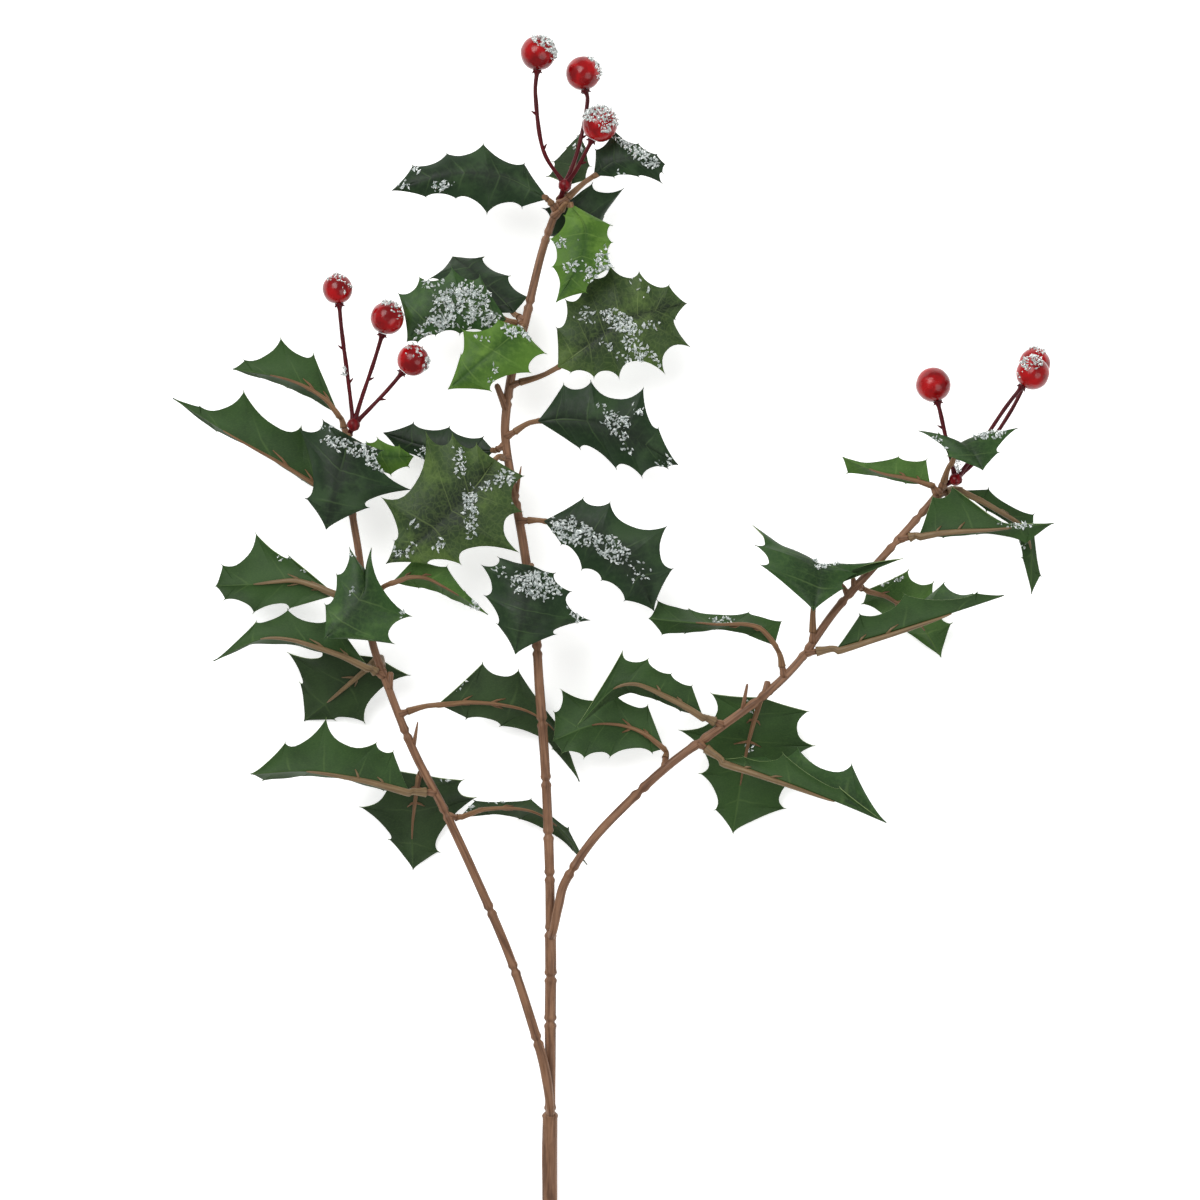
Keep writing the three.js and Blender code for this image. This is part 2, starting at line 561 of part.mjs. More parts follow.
// Each pick: its knot, and for each berry its middle, its radius and the bends of its stalk.
const PICKS = {
  center: {
    stem: "main_stem",
    reach: 2.1, // from the middle of the stem's head to the end of the foot wire
    hub: [7.5, 604, 45],
    berries: [
      { at: [-6, 670, 44], radius: 8.7, bends: [[-3.4, 621.5, 46], [-7.2, 648, 45]] },
      { at: [16.5, 660.3, 40], radius: 8.6, bends: [[14, 622, 43], [18.6, 645, 41]] },
      { at: [25, 633.5, 53], radius: 8.7, bends: [[13, 611, 49], [18.5, 621, 52]] },
    ],
  },
  left: {
    stem: "left_branch",
    reach: 2.25, // from the middle of the stem's head to the end of the foot wire
    hub: [-98, 484.5, 45],
    berries: [
      { at: [-106, 552.2, 44], radius: 7.5, bends: [[-100.5, 505, 45], [-103.8, 530, 45]] },
      { at: [-81, 537.5, 48], radius: 8.3, bends: [[-94, 497.5, 46], [-88, 515, 47]] },
      { at: [-68.4, 516.8, 43], radius: 7.9, bends: [[-91, 491.5, 44], [-81, 502, 43]] },
    ],
  },
  right: {
    stem: "right_branch",
    reach: 3.35, // from the middle of the stem's head to the end of the foot wire
    hub: [202.4, 457.2, 45.6],
    berries: [
      { at: [191.5, 504.5, 42], radius: 8.7, bends: [[197.5, 478.5, 44], [195, 490, 43]] },
      { at: [240.4, 510, 50], radius: 8.3, bends: [[211.5, 469.5, 46.5], [226, 491.5, 49]] },
      { at: [243, 515.5, 32], radius: 7.9, bends: [[216, 470, 40], [230.8, 491.5, 35]] },
    ],
  },
};

function stalkCurve(hub, { at, radius, bends }) {
  const way = vec(at).sub(vec(bends[bends.length - 1])).normalize();
  const top = along(vec(at), way, -(radius + GAP));
  return { way, curve: new THREE.CatmullRomCurve3([vec(hub), ...bends.map(vec), top], false, "centripetal") };
}

function stalkGeometry(hub, berry) {
  const { curve } = stalkCurve(hub, berry);
  const stations = [0, 0.2, 0.4, 0.6, 0.8, 0.94].map((at) => ({ at, radius: STALK_RADIUS }));
  stations.push({ at: 1, radius: SEAT_RADIUS });
  return loft(tubeRings(curve, stations, 8));
}

// A berry: a ball with a small flat under it, where its stalk is glued in. Its stalk comes from -Y.
function berryGeometry(radius) {
  const profile = [];
  const steps = 9;
  for (let i = 0; i <= steps; i++) {
    const angle = (i / steps) * Math.PI - Math.PI / 2;
    const ring = i === 0 || i === steps ? 0 : radius * Math.cos(angle);
    profile.push(new THREE.Vector2(ring, radius * Math.sin(angle)));
  }
  return new THREE.LatheGeometry(profile, 14);
}

// The short wire that holds a pick up: from its knot down to the head of its stem.
function footGeometry({ stem, reach, hub }) {
  const head = vec(STEMS[stem].route.at(-1));
  const way = vec(hub).sub(head).normalize();
  const curve = new THREE.LineCurve3(vec(hub), along(head, way, reach));
  return loft(tubeRings(curve, [0, 1].map((at) => ({ at, radius: STALK_RADIUS })), 8));
}

function hubGeometry(hub) {
  const ball = new THREE.IcosahedronGeometry(HUB_RADIUS, 1);
  ball.deleteAttribute("normal");
  ball.deleteAttribute("uv");
  ball.translate(...hub);
  return mergeVertices(ball, 1e-3);
}

// ---------------------------------------------------------------- the spray

const spray = new THREE.Group();
const parts = new THREE.Group();
spray.add(parts);

function addPart(name, geometry, material) {
  const mesh = new THREE.Mesh(geometry, material);
  mesh.name = name;
  parts.add(mesh);
  return mesh;
}

for (const [stemName, leaves] of Object.entries(LEAVES)) {
  const stem = STEMS[stemName];
  const pieces = [loft(tubeRings(stem.curve, stemStations(stem), STEM_SIDES))];
  for (const [leafName, row] of Object.entries(leaves)) {
    const leaf = { stem: stemName, ...row };
    const peg = pegOf(leaf);
    pieces.push(stub(peg.axisPoint, peg.end, PEG_RADIUS, PEG_RADIUS));
    addPart(leafName, leafGeometry(leaf), MATERIAL[`leaf_${leaf.tone}`]);
  }
  for (const spur of SPURS.filter((s) => s.stem === stemName)) {
    const start = stem.curve.getPointAt(shareAtY(stem.curve, spur.y));
    pieces.push(stub(start, vec(spur.end), ...spur.radii));
  }
  addPart(stemName, joined(pieces), MATERIAL.bark);
}

for (const [name, pick] of Object.entries(PICKS)) {
  const { hub, berries } = pick;
  const stalks = berries.map((berry) => stalkGeometry(hub, berry));
  addPart(`${name}_berry_stalks`, joined([hubGeometry(hub), footGeometry(pick), ...stalks]), MATERIAL.stalk);
  berries.forEach((berry, i) => {
    const ball = addPart(`${name}_berry_${i + 1}`, berryGeometry(berry.radius), MATERIAL.berry);
    ball.quaternion.setFromUnitVectors(new THREE.Vector3(0, 1, 0), stalkCurve(hub, berry).way);
    ball.position.copy(vec(berry.at));
  });
}

// The origin: the middle of the covered rectangle, on the table.
const covered = new THREE.Box3().setFromObject(parts, true);
const middle = covered.getCenter(new THREE.Vector3());
parts.position.set(-middle.x, -middle.y, -covered.min.z);

export default spray;
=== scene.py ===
"""Looks of an artificial frosted holly spray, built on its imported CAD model. Lengths are in millimetres
in the layout tables and in metres on every Blender object."""

import json
import math
import random

import bpy
import numpy as np
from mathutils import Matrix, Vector, noise


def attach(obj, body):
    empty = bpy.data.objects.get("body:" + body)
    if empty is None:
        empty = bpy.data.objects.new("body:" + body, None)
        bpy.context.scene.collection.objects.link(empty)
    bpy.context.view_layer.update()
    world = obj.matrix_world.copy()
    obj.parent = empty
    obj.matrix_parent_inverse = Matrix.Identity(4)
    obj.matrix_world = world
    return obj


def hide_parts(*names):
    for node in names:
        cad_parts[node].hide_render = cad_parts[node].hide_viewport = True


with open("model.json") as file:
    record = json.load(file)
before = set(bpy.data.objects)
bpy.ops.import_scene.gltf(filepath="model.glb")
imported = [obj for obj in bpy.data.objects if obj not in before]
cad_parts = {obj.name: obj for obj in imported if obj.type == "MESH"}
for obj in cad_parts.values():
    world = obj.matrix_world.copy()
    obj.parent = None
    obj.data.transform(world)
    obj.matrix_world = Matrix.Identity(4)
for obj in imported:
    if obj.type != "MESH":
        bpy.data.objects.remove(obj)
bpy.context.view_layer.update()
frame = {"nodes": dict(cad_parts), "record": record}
NODES = frame["nodes"]
MM = 0.001

# ---------------------------------------------------------------- layout, repeated from the CAD source

STEMS = {
    "main_stem": {
        "route": [
            (-0.5, 0, 3.7), (-0.5, 97, 9), (-0.2, 137, 12), (0, 185, 16), (0, 229, 19), (-0.5, 266, 22.5),
            (-2.6, 313, 26), (-5.5, 355, 29), (-7.5, 384, 31), (-13, 422, 33.5), (-18, 450, 35),
            (-22, 474, 36), (-22.3, 488, 36.5), (-19, 511, 37), (-12.5, 536, 38), (-4, 571, 39.5),
            (5, 597, 40),
        ],
        "radii": [(0, 3.75), (136, 3.9), (141, 2.75), (227, 2.85), (232, 2.45), (400, 2.35), (597, 1.95)],
        "joints": [52, 138.5, 184, 207, 230, 258, 279, 306, 336, 372, 405, 447, 497, 545, 579],
    },
    "left_branch": {
        "route": [
            (-0.2, 141, 17.7), (-2.2, 157, 19), (-6, 173, 20), (-17.4, 209, 22), (-29.5, 239.5, 24),
            (-52, 289, 28.5), (-68.3, 321, 31), (-81.7, 354.5, 33.5), (-90, 380, 35), (-95.8, 421, 37),
            (-99.5, 446, 38), (-100.5, 479, 39),
        ],
        "radii": [(141, 2.0), (155, 2.35), (176, 2.15), (250, 2.0), (479, 1.65)],
        "joints": [175, 211, 241, 290, 330, 362, 402, 442],
    },
    "right_branch": {
        "route": [
            (1.6, 231, 24.2), (4.3, 243.5, 24.6), (8, 256, 25), (21.5, 276.5, 26.5), (39.5, 295.5, 28.5),
            (60.5, 315, 31), (84.6, 332.5, 33), (107.5, 349.5, 35), (124.7, 366.5, 36.5), (143, 392, 38),
            (166.5, 418.5, 39), (189, 444, 40), (196.5, 454, 40.5),
        ],
        "radii": [(231, 1.9), (245, 2.15), (290, 2.05), (454, 1.7)],
        "joints": [261, 301, 326, 347, 371, 398, 425, 439],
    },
}
SPURS = [
    ("main_stem", 492, (-26.8, 505, 40), (1.7, 1.5)),
    ("main_stem", 447, (-14.4, 464, 38), (1.0, 0.4)),
    ("left_branch", 322, (-66.3, 336, 35), (1.0, 0.4)),
    ("left_branch", 352, (-80, 361, 33), (1.8, 1.6)),
    ("right_branch", 341, (98.8, 355, 37), (1.1, 0.7)),
    ("right_branch", 350, (109, 356.5, 35), (1.8, 1.4)),
    ("right_branch", 399, (146, 405.5, 39), (1.4, 0.5)),
    ("right_branch", 403, (151.5, 408.5, 39.5), (1.6, 1.1)),
]
PICKS = {
    "center": {
        "hub": (7.5, 604, 45),
        "berries": [
            {"at": (-6, 670, 44), "radius": 8.7, "bends": [(-3.4, 621.5, 46), (-7.2, 648, 45)]},
            {"at": (16.5, 660.3, 40), "radius": 8.6, "bends": [(14, 622, 43), (18.6, 645, 41)]},
            {"at": (25, 633.5, 53), "radius": 8.7, "bends": [(13, 611, 49), (18.5, 621, 52)]},
        ],
    },
    "left": {
        "hub": (-98, 484.5, 45),
        "berries": [
            {"at": (-106, 552.2, 44), "radius": 7.5, "bends": [(-100.5, 505, 45), (-103.8, 530, 45)]},
            {"at": (-81, 537.5, 48), "radius": 8.3, "bends": [(-94, 497.5, 46), (-88, 515, 47)]},
            {"at": (-68.4, 516.8, 43), "radius": 7.9, "bends": [(-91, 491.5, 44), (-81, 502, 43)]},
        ],
    },
    "right": {
        "hub": (202.4, 457.2, 45.6),
        "berries": [
            {"at": (191.5, 504.5, 42), "radius": 8.7, "bends": [(197.5, 478.5, 44), (195, 490, 43)]},
            {"at": (240.4, 510, 50), "radius": 8.3, "bends": [(211.5, 469.5, 46.5), (226, 491.5, 49)]},
            {"at": (243, 515.5, 32), "radius": 7.9, "bends": [(216, 470, 40), (230.8, 491.5, 35)]},
        ],
    },
}
# Leaf finishes that differ from their slot's: the big flat ones are olive with a dark middle, partly painted
# shade in the fold along the rib.
OLIVE = {"center_leaf_03", "center_leaf_06", "right_leaf_04"}


def welded(obj):
    """A node's corners without doubles, in millimetres, and which of them share an edge."""
    keys, points, index = {}, [], []
    for v in obj.data.vertices:
        key = tuple(round(c, 5) for c in v.co)
        if key not in keys:
            keys[key] = len(points)
            points.append(np.array(v.co) / MM)
        index.append(keys[key])
    near = [set() for _ in points]
    for face in obj.data.polygons:
        corners = [index[i] for i in face.vertices]
        for i, a in enumerate(corners):
            b = corners[(i + 1) % len(corners)]
            if a != b:
                near[a].add(b)
                near[b].add(a)
    return np.array(points), near


SHIFT = welded(NODES["center_berry_1"])[0].mean(0) - np.array(PICKS["center"]["berries"][0]["at"])
placed = lambda p: np.array(p, float) + SHIFT


# ---------------------------------------------------------------- camera, light, floor

SEEN_WIDTH = 600.0
EYE_HEIGHT = 2400.0
MIDDLE = placed((25, 397, 40))

camera_data = bpy.data.cameras.new("camera")
camera_data.sensor_width = 36
camera_data.lens = 36 * EYE_HEIGHT / SEEN_WIDTH
camera_data.clip_end = 50
camera = bpy.data.objects.new("camera", camera_data)
bpy.context.scene.collection.objects.link(camera)
camera.location = (MIDDLE + np.array((0, 0, EYE_HEIGHT))) * MM
bpy.context.scene.camera = camera
bpy.context.scene.view_settings.view_transform = "Standard"


def light(name, where, aim, size, power):
    data = bpy.data.lights.new(name, "AREA")
    data.shape = "DISK"
    data.size = size
    data.energy = power
    lamp = bpy.data.objects.new(name, data)
    lamp.location = where
    lamp.rotation_mode = "QUATERNION"
    lamp.rotation_quaternion = (Vector(aim) - Vector(where)).to_track_quat("-Z", "Y")
    bpy.context.scene.collection.objects.link(lamp)


light("key", (-1.1, 1.5, 2.6), (0, 0.05, 0), 2.4, 80)
light("fill", (1.7, -0.9, 2.3), (0, 0, 0), 2.2, 26)
world = bpy.data.worlds.new("studio")
bpy.context.scene.world = world
world.use_nodes = True
world.node_tree.nodes["Background"].inputs["Color"].default_value = (1, 1, 1, 1)
world.node_tree.nodes["Background"].inputs["Strength"].default_value = 0.36


# ---------------------------------------------------------------- materials

class Shader:
    """A node material with a Principled shader, and short calls to add nodes to it."""

    def __init__(self, name, rough, **sockets):
        self.material = bpy.data.materials.new(name)
        self.material.use_nodes = True
        self.tree = self.material.node_tree
        self.bsdf = self.tree.nodes["Principled BSDF"]
        self.bsdf.inputs["Roughness"].default_value = rough
        for socket, value in sockets.items():
            self.bsdf.inputs[socket.replace("_", " ")].default_value = value

    def node(self, kind, inputs=None, **settings):
        made = self.tree.nodes.new(kind)
        for key, value in settings.items():
            setattr(made, key, value)
        for key, value in (inputs or {}).items():
            self.put(made.inputs[key], value)
        return made

    def put(self, socket, value):
        if isinstance(value, bpy.types.NodeSocket):
            self.tree.links.new(value, socket)
        else:
            socket.default_value = value

    def maths(self, operation, *values, clamp=False):
        made = self.node("ShaderNodeMath", dict(enumerate(values)), operation=operation)
        made.use_clamp = clamp
        return made.outputs[0]

    def ramp(self, value, low, high, start=0.0, end=1.0):
        """value from low to high, drawn out smoothly to start to end."""
        made = self.node(
            "ShaderNodeMapRange",
            {"Value": value, "From Min": low, "From Max": high, "To Min": start, "To Max": end},
            interpolation_type="SMOOTHSTEP",
        )
        return made.outputs["Result"]

    def mix(self, factor, a, b):
        made = self.node("ShaderNodeMix", data_type="RGBA")
        self.put(made.inputs[0], factor)
        self.put(made.inputs[6], a)
        self.put(made.inputs[7], b)
        return made.outputs[2]

    def speckle(self, vector, scale, detail=3.0, rough=0.55, distortion=0.0):
        inputs = {"Vector": vector, "Scale": scale, "Detail": detail}
        inputs.update({"Roughness": rough, "Distortion": distortion})
        return self.node("ShaderNodeTexNoise", inputs).outputs["Fac"]

    def place(self):
        return self.node("ShaderNodeTexCoord").outputs["Object"]

    def uv(self):
        """The two numbers of the UV map, and both as a vector."""
        made = self.node("ShaderNodeUVMap", uv_map="UVMap")
        split = self.node("ShaderNodeSeparateXYZ", {0: made.outputs["UV"]})
        return split.outputs["X"], split.outputs["Y"], made.outputs["UV"]

    def stretch(self, vector, scale):
        return self.node("ShaderNodeMapping", {"Vector": vector, "Scale": scale}).outputs["Vector"]

    def bump(self, height, strength, distance):
        made = self.node("ShaderNodeBump", {"Height": height, "Strength": strength, "Distance": distance})
        self.put(self.bsdf.inputs["Normal"], made.outputs["Normal"])

    def colour(self, value):
        self.put(self.bsdf.inputs["Base Color"], value)

    def rough(self, value):
        self.put(self.bsdf.inputs["Roughness"], value)


def srgb(r, g, b):
    """A colour given in the 0 to 255 of a colour card, as the shader takes it."""
    line = lambda c: c / 12.92 if c <= 0.04045 else ((c + 0.055) / 1.055) ** 2.4
    return tuple(line(c / 255) for c in (r, g, b)) + (1.0,)


def leaf_front(name, deep, main, light_tone, vein, gloss, veining=0.5, lacing=0.2, fold_shade_strength=0.5):
    """Printed cloth: deep green round the rib, lighter margins, painted shade darkening the fold along the
    rib, pale rib and veins, a satin coat.
    """
    s = Shader(name, gloss, Specular_IOR_Level=0.22)
    across, along, _ = s.uv()
    place = s.place()
    side = s.maths("MULTIPLY", s.maths("ABSOLUTE", s.maths("SUBTRACT", across, 0.5)), 2.0)
    patches = s.speckle(place, 48, 5, 0.62)
    grain = s.speckle(place, 420, 3, 0.6)
    base = s.mix(s.ramp(s.maths("ADD", side, s.maths("MULTIPLY", patches, 1.1)), 0.4, 1.5), deep, main)
    base = s.mix(s.maths("MULTIPLY", s.ramp(patches, 0.5, 0.68), 0.8), base, light_tone)
    base = s.mix(s.maths("MULTIPLY", s.ramp(grain, 0.45, 0.7), 0.25), base, light_tone)
    # Painted shade in the fold along the rib: next to the rib, from half a spine out, the blade darkens
    # towards the deep green.
    painted_fold_shade = s.maths("MULTIPLY", s.ramp(side, 0.13, 0.0), s.ramp(along, 0.5, 1.5))
    base = s.mix(s.maths("MULTIPLY", painted_fold_shade, fold_shade_strength), base, deep)
    bend = s.maths("MULTIPLY", s.maths("SUBTRACT", s.speckle(place, 70, 3), 0.5), 0.22)
    rise = s.maths("MULTIPLY", s.maths("SUBTRACT", 1.0, side), 0.32)
    row = s.maths("ADD", s.maths("ADD", along, bend), rise)
    lateral = s.maths("MULTIPLY", row_line(s, row, 0.045, 0.006), s.ramp(side, 1.0, 0.25))
    fine = s.maths("MULTIPLY", row_line(s, s.maths("MULTIPLY", row, 3.0), 0.13, 0.02), s.ramp(side, 0.9, 0.1))
    warp = s.node("ShaderNodeTexNoise", {"Vector": place, "Scale": 120.0, "Detail": 2.0}).outputs["Color"]
    sway = s.node("ShaderNodeVectorMath", {0: warp, 1: (0.008, 0.008, 0.008)}, operation="MULTIPLY")
    warped = s.node("ShaderNodeVectorMath", {0: place, 1: sway.outputs[0]}, operation="ADD").outputs[0]
    net = s.node("ShaderNodeTexVoronoi", {"Vector": warped, "Scale": 330.0}, feature="DISTANCE_TO_EDGE")
    lace = s.maths("MULTIPLY", s.ramp(net.outputs["Distance"], 0.12, 0.01), lacing)
    midrib = s.maths("MULTIPLY", s.ramp(side, 0.045, 0.012), s.ramp(along, 2.2, 0.7))
    side_veins = s.maths("MAXIMUM", lateral, s.maths("MULTIPLY", fine, 0.3))
    veins = s.maths("MAXIMUM", midrib, s.maths("MULTIPLY", s.maths("MAXIMUM", side_veins, lace), 0.6))
    s.colour(s.mix(s.maths("MULTIPLY", veins, veining), base, vein))
    s.rough(s.ramp(grain, 0.2, 0.8, gloss - 0.07, gloss + 0.12))
    height = s.maths("SUBTRACT", s.maths("MULTIPLY", grain, 0.3), s.maths("MULTIPLY", veins, 0.8))
    s.bump(height, 0.35, 0.0004)
    return s.material


def row_line(s, row, wide, thin):
    """A line wherever row is a whole number."""
    off = s.maths("ABSOLUTE", s.maths("SUBTRACT", s.maths("FRACT", s.maths("ADD", row, 0.5)), 0.5))
    return s.ramp(off, wide, thin)


def leaf_back(name, deep, main, vein):
    """The cloth's back: flatter green, its weave showing, with paler veins pressed through."""
    s = Shader(name, 0.6, Specular_IOR_Level=0.25)
    across, along, _ = s.uv()
    place = s.place()
    side = s.maths("MULTIPLY", s.maths("ABSOLUTE", s.maths("SUBTRACT", across, 0.5)), 2.0)
    patches = s.speckle(place, 42, 5, 0.62)
    base = s.mix(s.ramp(patches, 0.32, 0.66), deep, main)
    bend = s.maths("MULTIPLY", s.maths("SUBTRACT", s.speckle(place, 70, 3), 0.5), 0.22)
    rise = s.maths("MULTIPLY", s.maths("SUBTRACT", 1.0, side), 0.32)
    row = s.maths("ADD", s.maths("ADD", along, bend), rise)
    lateral = s.maths("MULTIPLY", row_line(s, row, 0.045, 0.006), s.ramp(side, 0.9, 0.2))
    midrib = s.ramp(side, 0.04, 0.012)
    base = s.mix(s.maths("MULTIPLY", s.maths("MAXIMUM", lateral, midrib), 0.4), base, vein)
    weave = s.node("ShaderNodeTexVoronoi", {"Vector": place, "Scale": 1500.0})
    threads = s.speckle(s.stretch(place, (1.0, 3.0, 1.0)), 900, 2)
    base = s.mix(s.maths("MULTIPLY", s.ramp(threads, 0.4, 0.75), 0.22), base, vein)
    s.colour(base)
    s.bump(s.maths("ADD", threads, s.maths("MULTIPLY", weave.outputs["Distance"], 0.5)), 0.3, 0.0002)
    return s.material


def moulded(name, deep, main, pale, rough, through=0.0, shine=0.3):
    """Moulded plastic with flow lines along it: darker in the grooves, paler on the ridges."""
    s = Shader(name, rough, Specular_IOR_Level=shine, Transmission_Weight=through)
    both = s.uv()[2]
    place = s.place()
    lines = s.speckle(s.stretch(both, (9.0, 0.035, 1.0)), 1.0, 5, 0.65, 0.4)
    blots = s.speckle(place, 120, 3, 0.6)
    base = s.mix(s.ramp(lines, 0.32, 0.6), deep, main)
    base = s.mix(s.maths("MULTIPLY", s.ramp(lines, 0.55, 0.8), 0.7), base, pale)
    base = s.mix(s.maths("MULTIPLY", s.ramp(blots, 0.5, 0.75), 0.35), base, deep)
    s.colour(base)
    s.rough(s.ramp(blots, 0.25, 0.75, rough - 0.1, rough + 0.15))
    s.bump(s.maths("ADD", lines, s.maths("MULTIPLY", s.speckle(place, 700, 2), 0.25)), 0.45, 0.0005)
    return s.material


def berry_skin():
    """Red lacquer, cloudy underneath and a little dented."""
    s = Shader("berry_skin", 0.16, Specular_IOR_Level=0.3, Coat_Weight=0.15, Coat_Roughness=0.06)
    place = s.place()
    cloud = s.speckle(place, 95, 3, 0.6)
    dents = s.speckle(place, 260, 3, 0.55, 0.6)
    base = s.mix(s.ramp(cloud, 0.35, 0.7), srgb(112, 4, 9), srgb(170, 8, 14))
    s.colour(s.mix(s.maths("MULTIPLY", s.ramp(dents, 0.62, 0.8), 0.4), base, srgb(190, 34, 36)))
    s.rough(s.ramp(dents, 0.3, 0.75, 0.1, 0.3))
    s.bump(s.maths("ADD", cloud, s.maths("MULTIPLY", dents, 0.5)), 0.35, 0.0015)
    return s.material


def ice():
    """Clear to milky plastic grains."""
    s = Shader("ice_flakes", 0.16, Specular_IOR_Level=0.7, Transmission_Weight=0.45)
    place = s.place()
    cloud = s.speckle(place, 700, 2, 0.5)
    s.colour(s.mix(s.ramp(cloud, 0.35, 0.65), srgb(172, 184, 180), srgb(240, 245, 243)))
    s.rough(s.ramp(cloud, 0.3, 0.7, 0.08, 0.35))
    s.bump(s.speckle(place, 1500, 2), 0.25, 0.0002)
    return s.material


def leaf_edge():
    s = Shader("leaf_cut_edge", 0.65, Specular_IOR_Level=0.25)
    place = s.place()
    s.colour(s.mix(s.speckle(place, 160, 3), srgb(72, 96, 54), srgb(146, 164, 108)))
    s.bump(s.speckle(place, 1400, 2), 0.3, 0.0001)
    return s.material


def floor_paper():
    s = Shader("floor_paper", 0.9, Specular_IOR_Level=0.2, Emission_Color=(1, 1, 1, 1), Emission_Strength=0.5)
    place = s.place()
    s.colour(s.mix(s.speckle(place, 6, 3), srgb(246, 246, 245), srgb(250, 250, 250)))
    s.bump(s.speckle(place, 900, 2), 0.05, 0.0001)
    return s.material


# The last number of each leaf front is the strength of the painted shade in the fold along the rib.
FRONT = {
    "leaf_dark": leaf_front(
        "leaf_front_dark",
        srgb(16, 30, 15), srgb(29, 49, 27), srgb(46, 68, 38), srgb(80, 104, 60),
        0.48, 0.4, 0.12, 0.7,
    ),
    "leaf_mid": leaf_front(
        "leaf_front_mid",
        srgb(27, 48, 22), srgb(44, 72, 34), srgb(67, 97, 46), srgb(104, 128, 72),
        0.48, 0.45, 0.2, 0.6,
    ),
    "leaf_bright": leaf_front(
        "leaf_front_bright",
        srgb(42, 74, 20), srgb(75, 110, 36), srgb(98, 132, 52), srgb(126, 154, 78),
        0.5, 0.35, 0.15, 0.9,
    ),
    "leaf_olive": leaf_front(
        "leaf_front_olive",
        srgb(19, 33, 16), srgb(50, 70, 34), srgb(80, 102, 48), srgb(120, 138, 80),
        0.5, 0.5, 0.4, 0.8,
    ),
}
BACK = {
    "leaf_dark": leaf_back("leaf_back_dark", srgb(32, 50, 24), srgb(45, 66, 33), srgb(72, 92, 52)),
    "leaf_mid": leaf_back("leaf_back_mid", srgb(35, 59, 24), srgb(47, 75, 32), srgb(76, 101, 51)),
    "leaf_bright": leaf_back("leaf_back_bright", srgb(50, 82, 30), srgb(70, 104, 42), srgb(102, 130, 66)),
}
EDGE = leaf_edge()
BARK = moulded("bark", srgb(88, 60, 42), srgb(132, 97, 72), srgb(160, 124, 94), 0.52)
RIB = moulded("rib", srgb(92, 64, 42), srgb(128, 96, 66), srgb(156, 126, 90), 0.52)
SLEEVE = moulded("sleeve", srgb(100, 80, 54), srgb(136, 112, 80), srgb(164, 142, 108), 0.42, 0.12)
STALK = moulded("berry_stalk", srgb(46, 2, 8), srgb(82, 5, 14), srgb(112, 16, 24), 0.42, shine=0.18)
KNOT = moulded("berry_knot", srgb(66, 3, 8), srgb(116, 8, 16), srgb(146, 26, 32), 0.3, shine=0.25)
BERRY = berry_skin()
ICE = ice()
WIRE = Shader("core_wire", 0.35, Metallic=1.0).material

# ---------------------------------------------------------------- mesh pieces


class Mould:
    """Collects corners, faces, UVs and materials of one piece, in millimetres, then makes the object."""

    def __init__(self, materials):
        self.materials = materials
        self.corners, self.faces, self.uvs, self.slots, self.smooth = [], [], [], [], []

    def grid(self, points, uvs, slot, closed=False, flip=False, smooth=True):
        """Quads over points[row][column]. closed joins the last column to the first."""
        rows, columns = len(points), len(points[0])
        first = len(self.corners)
        self.corners.extend(p for row in points for p in row)
        flat = [uv for row in uvs for uv in row]
        for r in range(rows - 1):
            for c in range(columns if closed else columns - 1):
                d = (c + 1) % columns
                face = [r * columns + c, r * columns + d, (r + 1) * columns + d, (r + 1) * columns + c]
                uv = [flat[i] for i in face]
                if closed and d == 0:
                    uv[1] = (1.0, uv[1][1])
                    uv[2] = (1.0, uv[2][1])
                if flip:
                    face, uv = face[::-1], uv[::-1]
                self.add([first + i for i in face], uv, slot, smooth)

    def add(self, face, uv, slot, smooth=True):
        self.faces.append(face)
        self.uvs.append(uv)
        self.slots.append(slot)
        self.smooth.append(smooth)

    def tube(self, path, radii, sides, slot, ripple=0.0, seed=0.0):
        """A round tube along path, with its UV's second number counting millimetres along it."""
        path = [np.array(p, float) for p in path]
        tangents = tangents_of(path)
        side = any_across(tangents[0])
        points, uvs, run = [], [], 0.0
        for i, centre in enumerate(path):
            run += np.linalg.norm(centre - path[i - 1]) if i else 0.0
            side = unit(side - tangents[i] * side.dot(tangents[i]))
            up = np.cross(tangents[i], side)
            ring, ring_uv = [], []
            for k in range(sides):
                angle = 2 * math.pi * k / sides
                swell = 1.0
                if ripple:
                    where = Vector((math.cos(angle) * 1.6, math.sin(angle) * 1.6, run * 0.03 + seed))
                    swell += ripple * noise.noise(where) * 2
                reach = radii[i] * swell
                ring.append(centre + side * math.cos(angle) * reach + up * math.sin(angle) * reach)
                ring_uv.append((k / sides, run))
            points.append(ring)
            uvs.append(ring_uv)
        first = len(self.corners)
        self.grid(points, uvs, slot, closed=True)
        for row in (0, len(path) - 1):
            ring = [first + row * sides + k for k in range(sides)]
            self.add(ring if row else ring[::-1], [(0.5, 0.0)] * sides, slot, False)

    def build(self, name):
        mesh = bpy.data.meshes.new(name)
        low = np.array((-np.inf, -np.inf, 0.0))  # nothing sinks into the surface that the spray lies on
        mesh.from_pydata([tuple(np.maximum(p, low) * MM) for p in self.corners], [], self.faces)
        for material in self.materials:
            mesh.materials.append(material)
        layer = mesh.uv_layers.new(name="UVMap")
        layer.data.foreach_set("uv", [x for face in self.uvs for uv in face for x in uv])
        mesh.polygons.foreach_set("material_index", self.slots)
        mesh.polygons.foreach_set("use_smooth", self.smooth)
        mesh.update()
        obj = bpy.data.objects.new(name, mesh)
        bpy.context.scene.collection.objects.link(obj)
        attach(obj, "root")
        return obj


def unit(v):
    return v / max(np.linalg.norm(v), 1e-9)


def any_across(tangent):
    up = np.array((0.0, 0.0, 1.0)) if abs(tangent[2]) < 0.9 else np.array((1.0, 0.0, 0.0))
    return unit(np.cross(tangent, up))


def tangents_of(path):
    return [unit(path[min(i + 1, len(path) - 1)] - path[max(i - 1, 0)]) for i in range(len(path))]


